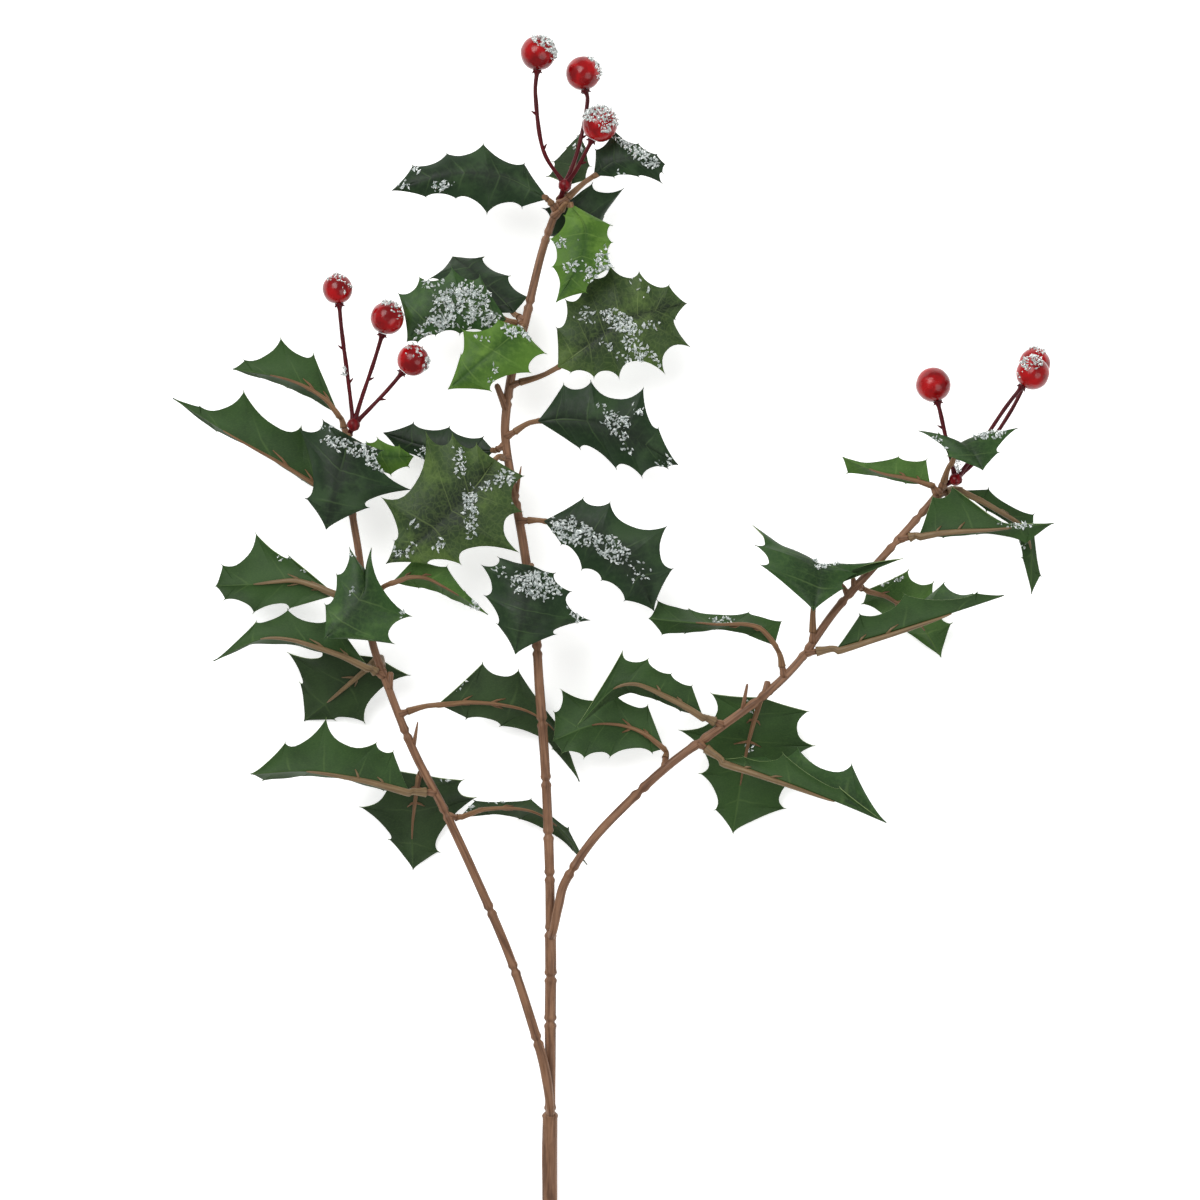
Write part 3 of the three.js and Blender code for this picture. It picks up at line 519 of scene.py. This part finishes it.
def carried(v, before, after):
    """v turned by the least turn that takes the direction before to the direction after."""
    axis = np.cross(before, after)
    return v + np.cross(axis, v) + np.cross(axis, np.cross(axis, v)) / (1 + before.dot(after) + 1e-9)


def catmull_rom(a, b, c, d, t):
    """The point at t, from 0 to 1, between b and c on the smooth curve through a, b, c and d."""
    return 0.5 * (
        2 * b + (c - a) * t + (2 * a - 5 * b + 4 * c - d) * t**2 + (3 * b - a - 3 * c + d) * t**3
    )


def smooth_path(points, step):
    """A Catmull-Rom curve through points, with a point about every step millimetres."""
    points = [np.array(p, float) for p in points]
    ends = [2 * points[0] - points[1], *points, 2 * points[-1] - points[-2]]
    path = []
    for i in range(len(points) - 1):
        a, b, c, d = ends[i : i + 4]
        count = max(2, round(np.linalg.norm(c - b) / step))
        for k in range(count):
            path.append(catmull_rom(a, b, c, d, k / count))
    path.append(points[-1])
    return path


# ---------------------------------------------------------------- leaves

BLADE_HALF = 0.22  # half the cloth's thickness
CAD_HALF = 0.4  # the same in the solids
ROWS = 14  # steps from one spine to the next
COLUMNS = (0.0, 0.05, 0.14, 0.28, 0.43, 0.58, 0.73, 0.87, 0.96, 1.0)
RIB_SHARE = 0.64  # how far along the blade the moulded rib runs
NEEDLE = 1.3  # how far a spine's point runs out past the blade
ARC = 2.6  # how square the arc between two spines is: 2 is a parabola


def rings_of(name, stem):
    """The rings of six corners that a leaf's solid is lofted through, from its petiole's end to its tip,
    each in its order round the ring."""
    points, near = welded(NODES[name])
    gaps = np.linalg.norm(points[:, None] - stem[None], axis=2).min(1)
    ring = set(np.argsort(gaps)[:6].tolist())
    used, rings = set(), []
    while ring:
        used |= ring
        rings.append(ring)
        ring = {b for a in ring for b in near[a]} - used
    ordered = []
    for ring in rings:
        walk = [min(ring)]
        links = {a: [b for b in near[a] if b in ring] for a in ring}
        while len(walk) < len(ring):
            step = [b for b in links[walk[-1]] if b not in walk]
            step.sort(key=lambda b: np.linalg.norm(points[b] - points[walk[-1]]) + 9 * (len(links[b]) > 2))
            if not step:
                break
            walk.append(step[0])
        ordered.append(points[walk])
    return ordered


class Leaf:
    """A leaf read back from its solid: the petiole's centres, then for each station of the blade its rib
    point, its two edge points and the way its printed side faces."""

    def __init__(self, name, stem):
        rings = rings_of(name, stem)
        if any(len(r) != 6 for r in rings) or len(rings) % 2:
            raise ValueError(f"{name} has rings of {[len(r) for r in rings]}")
        self.name = name
        self.petiole = [r.mean(0) for r in rings[:3]]
        blade = rings[3:]
        self.count = (len(blade) - 1) // 2 - 1
        keels, flanks = [], []
        for ring in blade:
            sides = [np.linalg.norm(ring[(k + 1) % 6] - ring[k]) for k in range(6)]
            k = min(range(3), key=lambda j: sides[j] + sides[j + 3])
            keels.append([ring[(k + 2) % 6], ring[(k + 5) % 6]])
            flanks.append([(ring[k] + ring[(k + 1) % 6]) / 2, (ring[(k + 3) % 6] + ring[(k + 4) % 6]) / 2])
        headings = tangents_of([(a + b) / 2 for a, b in keels])
        self.rib, self.left, self.right, self.normal = [], [], [], []
        normal = unit(flanks[0][0] + flanks[0][1] - keels[0][0] - keels[0][1])
        for i, (keel, (one, two)) in enumerate(zip(keels, flanks)):
            if i:
                normal = carried(normal, headings[i - 1], headings[i])
            if (keel[0] - keel[1]).dot(normal) < 0:
                keel.reverse()
            normal = unit(keel[0] - keel[1])
            centre = keel[0] - normal * CAD_HALF
            across = np.cross(headings[i], normal)
            if (two - one).dot(across) < 0:
                one, two = two, one
            self.rib.append(centre)
            self.left.append(one)
            self.right.append(two)
            self.normal.append(normal)
        for end in (0, -1):
            self.left[end] = self.right[end] = self.rib[end] = blade[end].mean(0) if end else self.rib[0]
        self.make_surface()

    def edge(self, side):
        """The blade's outline on one side: arcs between spines, with a needle on each spine."""
        corners = side[::2]
        outline = []
        for j in range(len(corners) - 1):
            a, b, hollow = corners[j], corners[j + 1], side[2 * j + 1]
            sag = hollow - (a + b) / 2
            for k in range(ROWS):
                t = 0.5 - 0.5 * math.cos(math.pi * k / ROWS)
                outline.append(a + (b - a) * t + sag * 1.12 * (1 - abs(2 * t - 1) ** ARC))
        outline.append(corners[-1])
        for j in range(1, len(corners) - 1):
            i = j * ROWS
            outward = unit(outline[i] - (outline[i - 3] + outline[i + 3]) / 2)
            outline[i] = outline[i] + outward * NEEDLE
        return outline

    def make_surface(self):
        rng = random.Random(self.name)
        total = ROWS * (self.count + 1)
        rib_at = lambda s: self.between(self.rib, s)
        left, right = self.edge(self.left), self.edge(self.right)
        phase = rng.uniform(0, 6.28)
        self.rows, self.uvs = [], []
        for i in range(total + 1):
            t = 0.5 - 0.5 * math.cos(math.pi * (i % ROWS) / ROWS)
            y = i // ROWS + t
            rib = rib_at(2 * y)
            tangent = unit(rib_at(min(2 * y + 0.2, 2 * self.count + 2)) - rib_at(max(2 * y - 0.2, 0)))
            row, uv = [], []
            for sign, edge in ((-1, left[i]), (1, right[i])):
                span = edge - rib
                width = np.linalg.norm(span)
                lift = self.between(self.normal, 2 * y)
                if width > 0.3:
                    lift = unit(np.cross(span, tangent) * sign)
                wave = math.cos(2 * math.pi * y) * 0.35 + math.sin(2.3 * y + phase + sign) * 0.5
                half, half_uv = [], []
                for w in COLUMNS:
                    crown = width * 0.055 * math.sin(math.pi * w) - 0.35 * math.exp(-((w / 0.07) ** 2))
                    half.append(rib + span * w + lift * (crown + wave * w * w * min(1.0, width / 10)))
                    half_uv.append((0.5 + sign * w / 2, y))
                if sign < 0:
                    row, uv = half[::-1], half_uv[::-1]
                else:
                    row, uv = row + half[1:], uv + half_uv[1:]
            self.rows.append(row)
            self.uvs.append(uv)
        grid = np.array(self.rows)
        down = np.gradient(grid, axis=0)
        over = np.gradient(grid, axis=1)
        facing = np.cross(over, down)
        size = np.linalg.norm(facing, axis=2, keepdims=True)
        facing = facing / np.maximum(size, 1e-9)
        for i, y in ((0, 0), (total, 2 * self.count + 2)):
            facing[i] = self.between(self.normal, y)
        self.grid, self.facing = grid, facing

    def between(self, values, s):
        """values at the fractional station s, smoothly."""
        s = min(max(s, 0.0), len(values) - 1.0)
        i = min(int(s), len(values) - 2)
        near = (values[min(max(j, 0), len(values) - 1)] for j in (i - 1, i, i + 1, i + 2))
        return catmull_rom(*near, s - i)

    def spot(self, x, y):
        """The point and facing of the printed side at x, from -1 to 1 across, and y, counted in spines."""
        j = int(y)
        t = min(max(y - j, 0.0), 1.0)
        i = j * ROWS + ROWS * math.acos(1 - 2 * t) / math.pi
        i = min(max(i, 0.0), len(self.grid) - 1.001)
        w = abs(x)
        k = max(c for c in range(len(COLUMNS) - 1) if COLUMNS[c] <= w)
        c = len(COLUMNS) - 1 + math.copysign(k + (w - COLUMNS[k]) / (COLUMNS[k + 1] - COLUMNS[k]), x)
        c = min(max(c, 0.0), self.grid.shape[1] - 1.001)
        r0, c0 = int(i), int(c)
        fr, fc = i - r0, c - c0
        pick = lambda g: (g[r0, c0] * (1 - fc) + g[r0, c0 + 1] * fc) * (1 - fr) + (
            g[r0 + 1, c0] * (1 - fc) + g[r0 + 1, c0 + 1] * fc
        ) * fr
        return pick(self.grid), unit(pick(self.facing))

    def build(self, slot, big_sleeve):
        front = FRONT["leaf_olive" if self.name in OLIVE else slot]
        mould = Mould([front, BACK[slot], RIB, SLEEVE, EDGE])
        top = self.grid + self.facing * BLADE_HALF
        bottom = self.grid - self.facing * BLADE_HALF
        mould.grid(top, self.uvs, 0, flip=True)
        mould.grid(bottom, self.uvs, 1)
        for column, flip in ((0, False), (-1, True)):
            rim = [[top[i][column], bottom[i][column]] for i in range(len(top))]
            rim_uv = [[self.uvs[i][column]] * 2 for i in range(len(top))]
            mould.grid(rim, rim_uv, 4, flip=flip)
        self.add_rib(mould, big_sleeve)
        leaf = mould.build(self.name + "_cloth")
        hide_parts(self.name)

    def behind(self, y, depth, x=0.0):
        point, facing = self.spot(x, y)
        return point - facing * depth

    def add_rib(self, mould, big_sleeve):
        """The moulded rib under the blade with its side stubs, and the petiole it grows from."""
        last = (self.count + 1) * RIB_SHARE
        steps = 26
        girth, power = (1.65, 0.6) if big_sleeve else (1.2, 0.8)
        path = smooth_path([*self.petiole[1:], self.behind(0.0, 0.9)], 1.2)[:-1]
        radii = [girth + 0.1] * len(path)
        for i in range(steps + 1):
            radius = girth * (1 - i / steps) ** power + 0.3
            path.append(self.behind(last * i / steps, radius * 0.95 + 0.1))
            radii.append(radius)
        slot = 3 if big_sleeve else 2
        mould.tube(path, radii, 12, slot, ripple=0.06, seed=len(self.name))
        sleeve = smooth_path(self.petiole, 0.8)
        share = [i / (len(sleeve) - 1) for i in range(len(sleeve))]
        lip = 2.5 if big_sleeve else 1.85
        mould.tube(sleeve, [girth + 0.1 + (lip - girth) * (1 - t) ** 1.5 for t in share], 14, slot)
        for y, reach in ((0.28, 0.16), (0.52, 0.22)):
            for sign in (-1, 1):
                start = self.behind(last * y, 0.8)
                middle = self.behind(last * y + 0.12, 0.66, sign * reach * 0.5)
                stub = [start, middle, self.behind(last * y + 0.28, 0.42, sign * reach)]
                mould.tube(stub, [0.75, 0.6, 0.22], 7, slot)


BIG_SLEEVES = {
    "left_leaf_02", "left_leaf_05", "left_leaf_06", "right_leaf_02", "right_leaf_06", "right_leaf_09",
    "left_leaf_09", "right_leaf_03", "right_leaf_10",
}
STEM_OF = {"center": "main_stem", "left": "left_branch", "right": "right_branch"}
slot_of = {row["node"]: row["material_slot"] for row in frame["record"]["subparts"]}
stem_points = {name: welded(NODES[name])[0] for name in STEMS}
leaves = {}
for node in sorted(NODES):
    if "_leaf_" in node:
        leaf = Leaf(node, stem_points[STEM_OF[node.split("_")[0]]])
        leaf.build(slot_of[node], node in BIG_SLEEVES)
        leaves[node] = leaf

# ---------------------------------------------------------------- stems


def radius_at(radii, y):
    return float(np.interp(y, [r[0] for r in radii], [r[1] for r in radii]))


def joint_swell(distance):
    """A moulded joint: two lips with a pinched groove between them."""
    lips = 0.13 * math.exp(-(((abs(distance) - 2.1) / 1.0) ** 2))
    return 1 + lips - 0.26 * math.exp(-((distance / 0.85) ** 2))


# The solids keep clear of each other, so the branches' sleeves are a little thicker than theirs, and each
# branch starts this far below its solid, inside the main stem that it grows from.
BRANCH_GIRTH = 1.1
ROOT_REACH = 4.5


def main_axis(y):
    """The middle of the main stem at y in the layout."""
    route = np.array(STEMS["main_stem"]["route"], float)
    return tuple(float(np.interp(y, route[:, 1], route[:, i])) for i in range(3))


def build_stem(name, row):
    mould = Mould([BARK, WIRE])
    route, girth = row["route"], 1.0
    if name != "main_stem":
        route, girth = [main_axis(route[0][1] - ROOT_REACH), *route], BRANCH_GIRTH
    path = smooth_path([placed(p) for p in route], 0.7)
    radii = []
    for i, point in enumerate(path):
        y = point[1] - SHIFT[1]
        radius = radius_at(row["radii"], y) * girth
        for joint in row["joints"]:
            if abs(joint - y) < 6:
                radius *= joint_swell(joint - y)
        radii.append(radius)
    for i in range(4):
        radii[-1 - i] *= (0.5, 0.8, 0.93, 0.98)[i]
    mould.tube(path, radii, 20, 0, ripple=0.05, seed=len(name))
    line = np.array(path)
    for node, leaf in leaves.items():
        if STEM_OF[node.split("_")[0]] == name:
            end = leaf.petiole[0]
            way = unit(leaf.petiole[0] - leaf.petiole[1])
            start = line[np.linalg.norm(line - (end + way * 5), axis=1).argmin()]
            reach = np.linalg.norm(end - start)
            peg = [start + (end - start) * s for s in (0, 0.45, 0.62, 0.8, 1.0)]
            mould.tube(peg, [2.4, 2.1, 1.75, 1.6, 1.55], 12, 0, ripple=0.05, seed=reach)
    for stem, y, end, girths in SPURS:
        if stem == name:
            start = line[np.abs(line[:, 1] - SHIFT[1] - y).argmin()]
            spur = [start + (placed(end) - start) * s for s in (0, 0.4, 0.7, 0.92, 1.0)]
            shape = [girths[0] * 1.2, girths[0], (girths[0] + girths[1]) / 2, girths[1], girths[1] * 0.6]
            mould.tube(spur, shape, 10, 0, ripple=0.08, seed=y)
    if name == "main_stem":
        foot = path[0]
        mould.tube([foot + np.array((0, s, 0)) for s in (-0.6, 0.0, 4.0)], [0.8, 0.85, 0.85], 12, 1)
    stem_piece = mould.build(name + "_bark")
    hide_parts(name)


for stem_name, stem_row in STEMS.items():
    build_stem(stem_name, stem_row)

# ---------------------------------------------------------------- berries and their stalks


def build_berry(name, at, radius, way):
    """A lacquered foam ball, a little uneven, drawn in where its wire enters."""
    mould = Mould([BERRY])
    side = any_across(way)
    up = np.cross(way, side)
    rows, uvs = [], []
    steps, sides = 40, 56
    for i in range(steps + 1):
        polar = math.pi * i / steps
        row, uv = [], []
        for k in range(sides):
            angle = 2 * math.pi * k / sides
            d = way * -math.cos(polar) + (side * math.cos(angle) + up * math.sin(angle)) * math.sin(polar)
            reach = radius * (1 + 0.022 * noise.noise(Vector(d * 1.9) + Vector(at)))
            socket = 0.09 * math.exp(-((polar / 0.2) ** 2))
            dimple = 0.03 * math.exp(-(((math.pi - polar) / 0.16) ** 2))
            reach *= 1 - socket - dimple
            row.append(placed(at) + d * reach)
            uv.append((k / sides, i / steps))
        rows.append(row)
        uvs.append(uv)
    mould.grid(rows, uvs, 0, closed=True)
    berry = mould.build(name + "_ball")
    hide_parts(name)


KNOT_RADIUS = 3.3


def build_pick(side, pick):
    mould = Mould([STALK, KNOT])
    hub = placed(pick["hub"])
    head = placed(STEMS[STEM_OF[side]]["route"][-1])
    mould.tube([hub, (hub + head) / 2, head], [1.6, 1.25, 1.3], 14, 0, ripple=0.09, seed=9.0)
    for i, berry in enumerate(pick["berries"]):
        way = unit(np.array(berry["at"], float) - np.array(berry["bends"][-1]))
        top = np.array(berry["at"]) - way * (berry["radius"] * 0.97)
        path = smooth_path([hub, *(placed(b) for b in berry["bends"]), placed(top)], 0.8)
        radii = []
        for k in range(len(path)):
            left = len(path) - 1 - k
            wobble = 1.05 + 0.12 * noise.noise(Vector((k * 0.12, i * 7.0, len(side))))
            radii.append(wobble + 1.25 * math.exp(-((left / 2.3) ** 2)) + 0.8 * math.exp(-((k / 5) ** 2)))
        mould.tube(path, radii, 14, 0, ripple=0.09, seed=i + 3.0)
        line = np.array(path)
        for sepal in range(5):
            angle = 2 * math.pi * sepal / 5 + i
            out = any_across(way) * math.cos(angle) + np.cross(way, any_across(way)) * math.sin(angle)
            foot = placed(top) - way * 0.8
            blade = [foot, foot + out * 1.9 - way * 0.1, foot + out * 2.8 - way * 0.9]
            mould.tube(blade, [0.7, 0.5, 0.15], 6, 0)
        for share in (0.35, 0.62) if i == 0 else (0.5,):
            k = int(share * (len(path) - 1))
            ahead = unit(line[k + 1] - line[k])
            thorn = unit(any_across(ahead) * (1 if share < 0.6 else -1) + ahead * 0.9)
            mould.tube([line[k], line[k] + thorn * 2.0, line[k] + thorn * 3.6], [0.8, 0.6, 0.2], 7, 0)
        build_berry(f"{side}_berry_{i + 1}", berry["at"], berry["radius"], way)
    rows, uvs = [], []
    for i in range(13):
        polar = math.pi * i / 12
        row, uv = [], []
        for k in range(20):
            angle = 2 * math.pi * k / 20
            out = math.sin(polar)
            d = np.array((out * math.cos(angle), -math.cos(polar), out * math.sin(angle)))
            lump = 1 + 0.14 * noise.noise(Vector(d * 2.2) + Vector(pick["hub"]))
            row.append(hub + d * KNOT_RADIUS * lump)
            uv.append((k / 20, i * 0.8))
        rows.append(row)
        uvs.append(uv)
    mould.grid(rows, uvs, 1, closed=True, flip=True)
    stalks = mould.build(side + "_stalks")
    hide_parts(side + "_berry_stalks")


for pick_side, pick_row in PICKS.items():
    build_pick(pick_side, pick_row)

# ---------------------------------------------------------------- ice flakes

# Where flakes are glued: middle of a patch in the layout's X and Y, its half length and half width, its
# turn in degrees from +X, and how thick the flakes lie.
FROST = {
    "center_leaf_01": [(-7, 404, 14, 7, -12, 0.9), (14, 391, 6, 4, -35, 0.7), (-24, 411, 5, 3, 0, 0.4)],
    "center_leaf_02": [(12, 431, 13, 6.5, -22, 1.0), (30, 423, 12, 6, -32, 0.85), (44, 411, 7, 6, -40, 0.2)],
    "center_leaf_03": [
        (-45, 465, 9, 3.2, 95, 0.75), (-39.6, 441, 14.5, 4, 92, 0.95), (-22.5, 458, 5.5, 4, 20, 0.75),
        (-16.5, 447, 7.5, 2.6, 100, 0.8), (-32, 453.5, 3.5, 3, 0, 0.4), (-55, 424, 4, 3, 60, 0.4),
        (-73, 421, 8, 4, 20, 0.3), (-68, 434, 4, 4, 0, 0.2),
    ],
    "center_leaf_04": [(-64, 472, 4, 3.5, 0, 0.35)],
    "center_leaf_05": [
        (32.7, 486.6, 8, 4.5, -10, 0.75), (44, 492, 5, 3.5, 0, 0.4), (34, 480.5, 6, 3, -30, 0.7),
        (26, 491.6, 4, 3, 0, 0.3), (38, 472.5, 5, 3, 0, 0.2), (57, 467, 6, 4, -40, 0.12),
    ],
    "center_leaf_06": [
        (35, 536, 11, 4.8, -31, 0.95), (45, 521.5, 12, 4.2, -35, 0.9), (28, 525, 5, 2.5, -35, 0.6),
        (36, 518, 4.5, 3.5, 0, 0.6), (18, 540, 7, 5, 0, 0.25), (51, 534, 4, 3, 0, 0.3),
        (44, 553, 8, 7, 0, 0.08),
    ],
    "center_leaf_07": [
        (-15.5, 530.5, 8.5, 4.5, -12, 0.95), (-33.6, 527, 5, 3, 0, 0.25),
        (-28.6, 509, 5, 2.2, 70, 0.55),
    ],
    "center_leaf_08": [
        (-43.6, 544.5, 15, 11, 0, 1.0), (-58.5, 533.5, 10, 5, 20, 0.9), (-30, 537, 8, 5, -20, 0.9),
        (-58, 555, 7, 4, 0, 0.3),
    ],
    "center_leaf_10": [
        (27, 566, 7.5, 5, 80, 0.95), (19.5, 559, 4.5, 4.5, 0, 0.85), (10.5, 562.5, 4, 3, 0, 0.6),
        (4.5, 575, 4, 3.5, 0, 0.6), (21, 552, 3.5, 2, 80, 0.6), (12, 571, 9, 8, 0, 0.04),
    ],
    "center_leaf_12": [
        (-53.6, 604.3, 6.5, 3, 10, 0.75), (-67, 612.5, 3, 2.5, 0, 0.35),
        (-73, 604.5, 4, 3, 0, 0.2),
    ],
    "center_leaf_13": [
        (43, 621, 14, 3, -34, 0.85), (49, 616, 5, 3.5, -30, 0.8),
        (36.7, 610.5, 4, 2.5, 0, 0.25),
    ],
    "center_leaf_14": [(15, 627, 4, 4, 0, 0.35)],
    "left_leaf_01": [(-27, 295.8, 9, 2, 0, 0.7), (-44, 292, 5, 3, 0, 0.2)],
    "left_leaf_03": [(-52, 308.5, 9, 2, 0, 0.6)],
    "left_leaf_04": [(-46, 354, 7, 2, 48, 0.45)],
    "left_leaf_07": [(-98, 401, 2, 2, 0, 0.3), (-72, 389, 4, 3, 0, 0.3), (-97.3, 419, 3, 2, 0, 0.3)],
    "left_leaf_08": [(-35, 394, 5, 3, -40, 0.8)],
    "left_leaf_09": [(-134, 419, 4, 2, -30, 0.5), (-123, 413, 3, 1.5, -30, 0.5)],
    "left_leaf_12": [
        (-98, 472, 17, 3.4, -17, 1.0), (-86, 464.5, 8, 3.6, -35, 0.8),
        (-111, 483, 5, 3, 0, 0.25),
    ],
    "right_leaf_04": [(102, 345, 5, 6, 0, 0.15), (124, 316, 6, 2.5, 70, 0.5), (101, 322, 4, 3, 0, 0.3)],
    "right_leaf_05": [(87, 386.5, 8, 2, 0, 0.35)],
    "right_leaf_07": [
        (124, 423.5, 13, 2.6, -28, 0.95), (144, 416.5, 11, 2.4, 0, 0.8),
        (135, 415.5, 5, 3.5, 0, 0.6),
    ],
    "right_leaf_08": [(169.5, 407.5, 8, 2.4, 15, 0.5)],
    "right_leaf_09": [(233, 434.5, 10, 1.6, 0, 0.55)],
    "right_leaf_10": [(238, 425, 4, 3, 0, 0.2)],
    "right_leaf_12": [(219, 478.5, 8, 2, 12, 0.7), (193, 475, 5, 2, -30, 0.4)],
}
# Flakes for each square millimetre where a patch lies at its thickest, and the flakes' least and greatest
# sizes.
FLAKES = 1.2
LEAF_FLAKE = (0.95, 2.35)
BERRY_FLAKE = (0.8, 2.0)
CLUMP_FLAKE = (0.7, 1.7)
# Where flakes cover a berry: the way towards the patch's middle, its half angle in degrees, how many.
BERRY_FROST = {
    "center_berry_1": [((0.55, 0.75, 0.35), 54, 230), ((0.95, -0.1, 0.3), 26, 50)],
    "center_berry_2": [((0.95, 0.1, 0.2), 32, 60), ((0.5, 0.8, 0.3), 18, 14)],
    "center_berry_3": [
        ((-0.25, 0.85, 0.45), 56, 270),
        ((0.35, -0.1, 0.93), 28, 44), ((0.9, 0.3, 0.3), 26, 30),
    ],
    "left_berry_1": [((-0.1, 0.8, 0.6), 34, 26), ((0.7, 0.1, 0.7), 25, 8)],
    "left_berry_2": [((0.3, 0.85, 0.4), 42, 50), ((0.8, 0.1, 0.6), 30, 12)],
    "left_berry_3": [((0.9, -0.25, 0.3), 28, 36), ((0.1, 0.7, 0.7), 38, 24)],
    "right_berry_2": [((-0.1, 0.72, 0.65), 42, 95), ((-0.8, -0.1, 0.6), 20, 6)],
    "right_berry_3": [((0.2, 0.9, 0.3), 34, 34)],
}
# Loose clumps on the stalks: place in the layout, reach along Y, how many.
STALK_FROST = [
    ("left_berry_stalks", (-102.3, 511, 46.5), 2.4, 22),
    ("right_berry_stalks", (203.4, 466.5, 47.5), 5.5, 60),
]


def crystal(mould, rng, point, facing, size):
    """One angular grain: an uneven six-cornered shard, half sunk in its glue."""
    turn = unit(np.array([rng.gauss(0, 1), rng.gauss(0, 1), rng.gauss(0, 1)]))
    axes = [turn, any_across(turn)]
    axes.append(np.cross(axes[0], axes[1]))
    spans = (rng.uniform(0.55, 0.95), rng.uniform(0.22, 0.42), rng.uniform(0.14, 0.3))
    middle = point + facing * size * rng.uniform(0.1, 0.36)
    first = len(mould.corners)
    for i in range(6):
        jitter = np.array([rng.uniform(-0.1, 0.1) * size for _ in range(3)])
        mould.corners.append(middle + axes[i // 2] * size * spans[i // 2] * (1 if i % 2 else -1) + jitter)
    for a in (0, 1):
        for b in (2, 3):
            for c in (4, 5):
                face = [first + a, first + b, first + c]
                if (a + b + c) % 2:
                    face.reverse()
                mould.add(face, [(0, 0), (1, 0), (0, 1)], 0, False)


def frost_leaf(name, patches):
    """Scatters flakes over a leaf's upper side, wherever a patch covers it."""
    rng = random.Random("frost " + name)
    grid, facing = leaves[name].grid, leaves[name].facing
    corner = grid[:-1, :-1]
    down, over = grid[1:, :-1] - corner, grid[:-1, 1:] - corner
    areas = np.linalg.norm(np.cross(down, over), axis=2)
    mould = Mould([ICE])
    for r, c in np.argwhere(areas > 0):
        expected = areas[r, c] * FLAKES
        for _ in range(int(expected) + (rng.random() < expected % 1)):
            fr, fc = rng.random(), rng.random()
            point = corner[r, c] + down[r, c] * fr + over[r, c] * fc
            x, y = point[0] - SHIFT[0], point[1] - SHIFT[1]
            thick = 0.0
            for x0, y0, length, width, turn, full in patches:
                a = math.radians(turn)
                u = ((x - x0) * math.cos(a) + (y - y0) * math.sin(a)) / length
                v = ((y - y0) * math.cos(a) - (x - x0) * math.sin(a)) / width
                thick = max(thick, full * min(1.0, 2.2 * max(0.0, 1.12 - math.hypot(u, v))))
            clump = noise.noise(Vector(point * 0.3) + Vector((7, 0, 3)))
            if rng.random() < thick * min(1.0, max(0.25, 0.8 + 1.6 * clump)):
                way = unit(facing[r, c]) * (1 if facing[r, c][2] > 0 else -1)
                crystal(mould, rng, point + way * BLADE_HALF, way, rng.uniform(*LEAF_FLAKE))
    mould.build(name + "_flakes")


def frost_berry(name, at, radius, patches):
    """Scatters flakes over caps of a berry."""
    rng = random.Random("frost " + name)
    mould = Mould([ICE])
    for towards, half_angle, count in patches:
        towards = unit(np.array(towards))
        side = any_across(towards)
        up = np.cross(towards, side)
        for _ in range(count):
            polar = math.radians(half_angle) * math.sqrt(rng.random())
            angle = rng.uniform(0, 2 * math.pi)
            out = side * math.cos(angle) + up * math.sin(angle)
            way = towards * math.cos(polar) + out * math.sin(polar)
            crystal(mould, rng, placed(at) + way * radius, way, rng.uniform(*BERRY_FLAKE))
    mould.build(name + "_flakes")


def frost_stalk(name, at, reach, count):
    """A loose clump round a point of the wires, drawn out along Y."""
    rng = random.Random("clump " + name)
    upward = np.array((0.0, 0.0, 1.0))
    mould = Mould([ICE])
    for _ in range(count):
        offset = np.array([rng.gauss(0, 0.8), rng.uniform(-1, 1) * reach, rng.gauss(0, 0.5)])
        crystal(mould, rng, placed(at) + offset, upward, rng.uniform(*CLUMP_FLAKE))
    mould.build(name + "_flakes")


for frosted, frost_patches in FROST.items():
    frost_leaf(frosted, frost_patches)
for pick_side, pick_row in PICKS.items():
    for number, berry_row in enumerate(pick_row["berries"], 1):
        berry_name = f"{pick_side}_berry_{number}"
        if berry_name in BERRY_FROST:
            frost_berry(berry_name, berry_row["at"], berry_row["radius"], BERRY_FROST[berry_name])
for frosted, clump_at, clump_reach, clump_count in STALK_FROST:
    frost_stalk(frosted, clump_at, clump_reach, clump_count)

# ---------------------------------------------------------------- floor

FLOOR_SIZE = 30  # metres
bpy.ops.mesh.primitive_plane_add(size=FLOOR_SIZE)
floor = bpy.context.object
floor.name = "floor"
floor.data.materials.append(floor_paper())
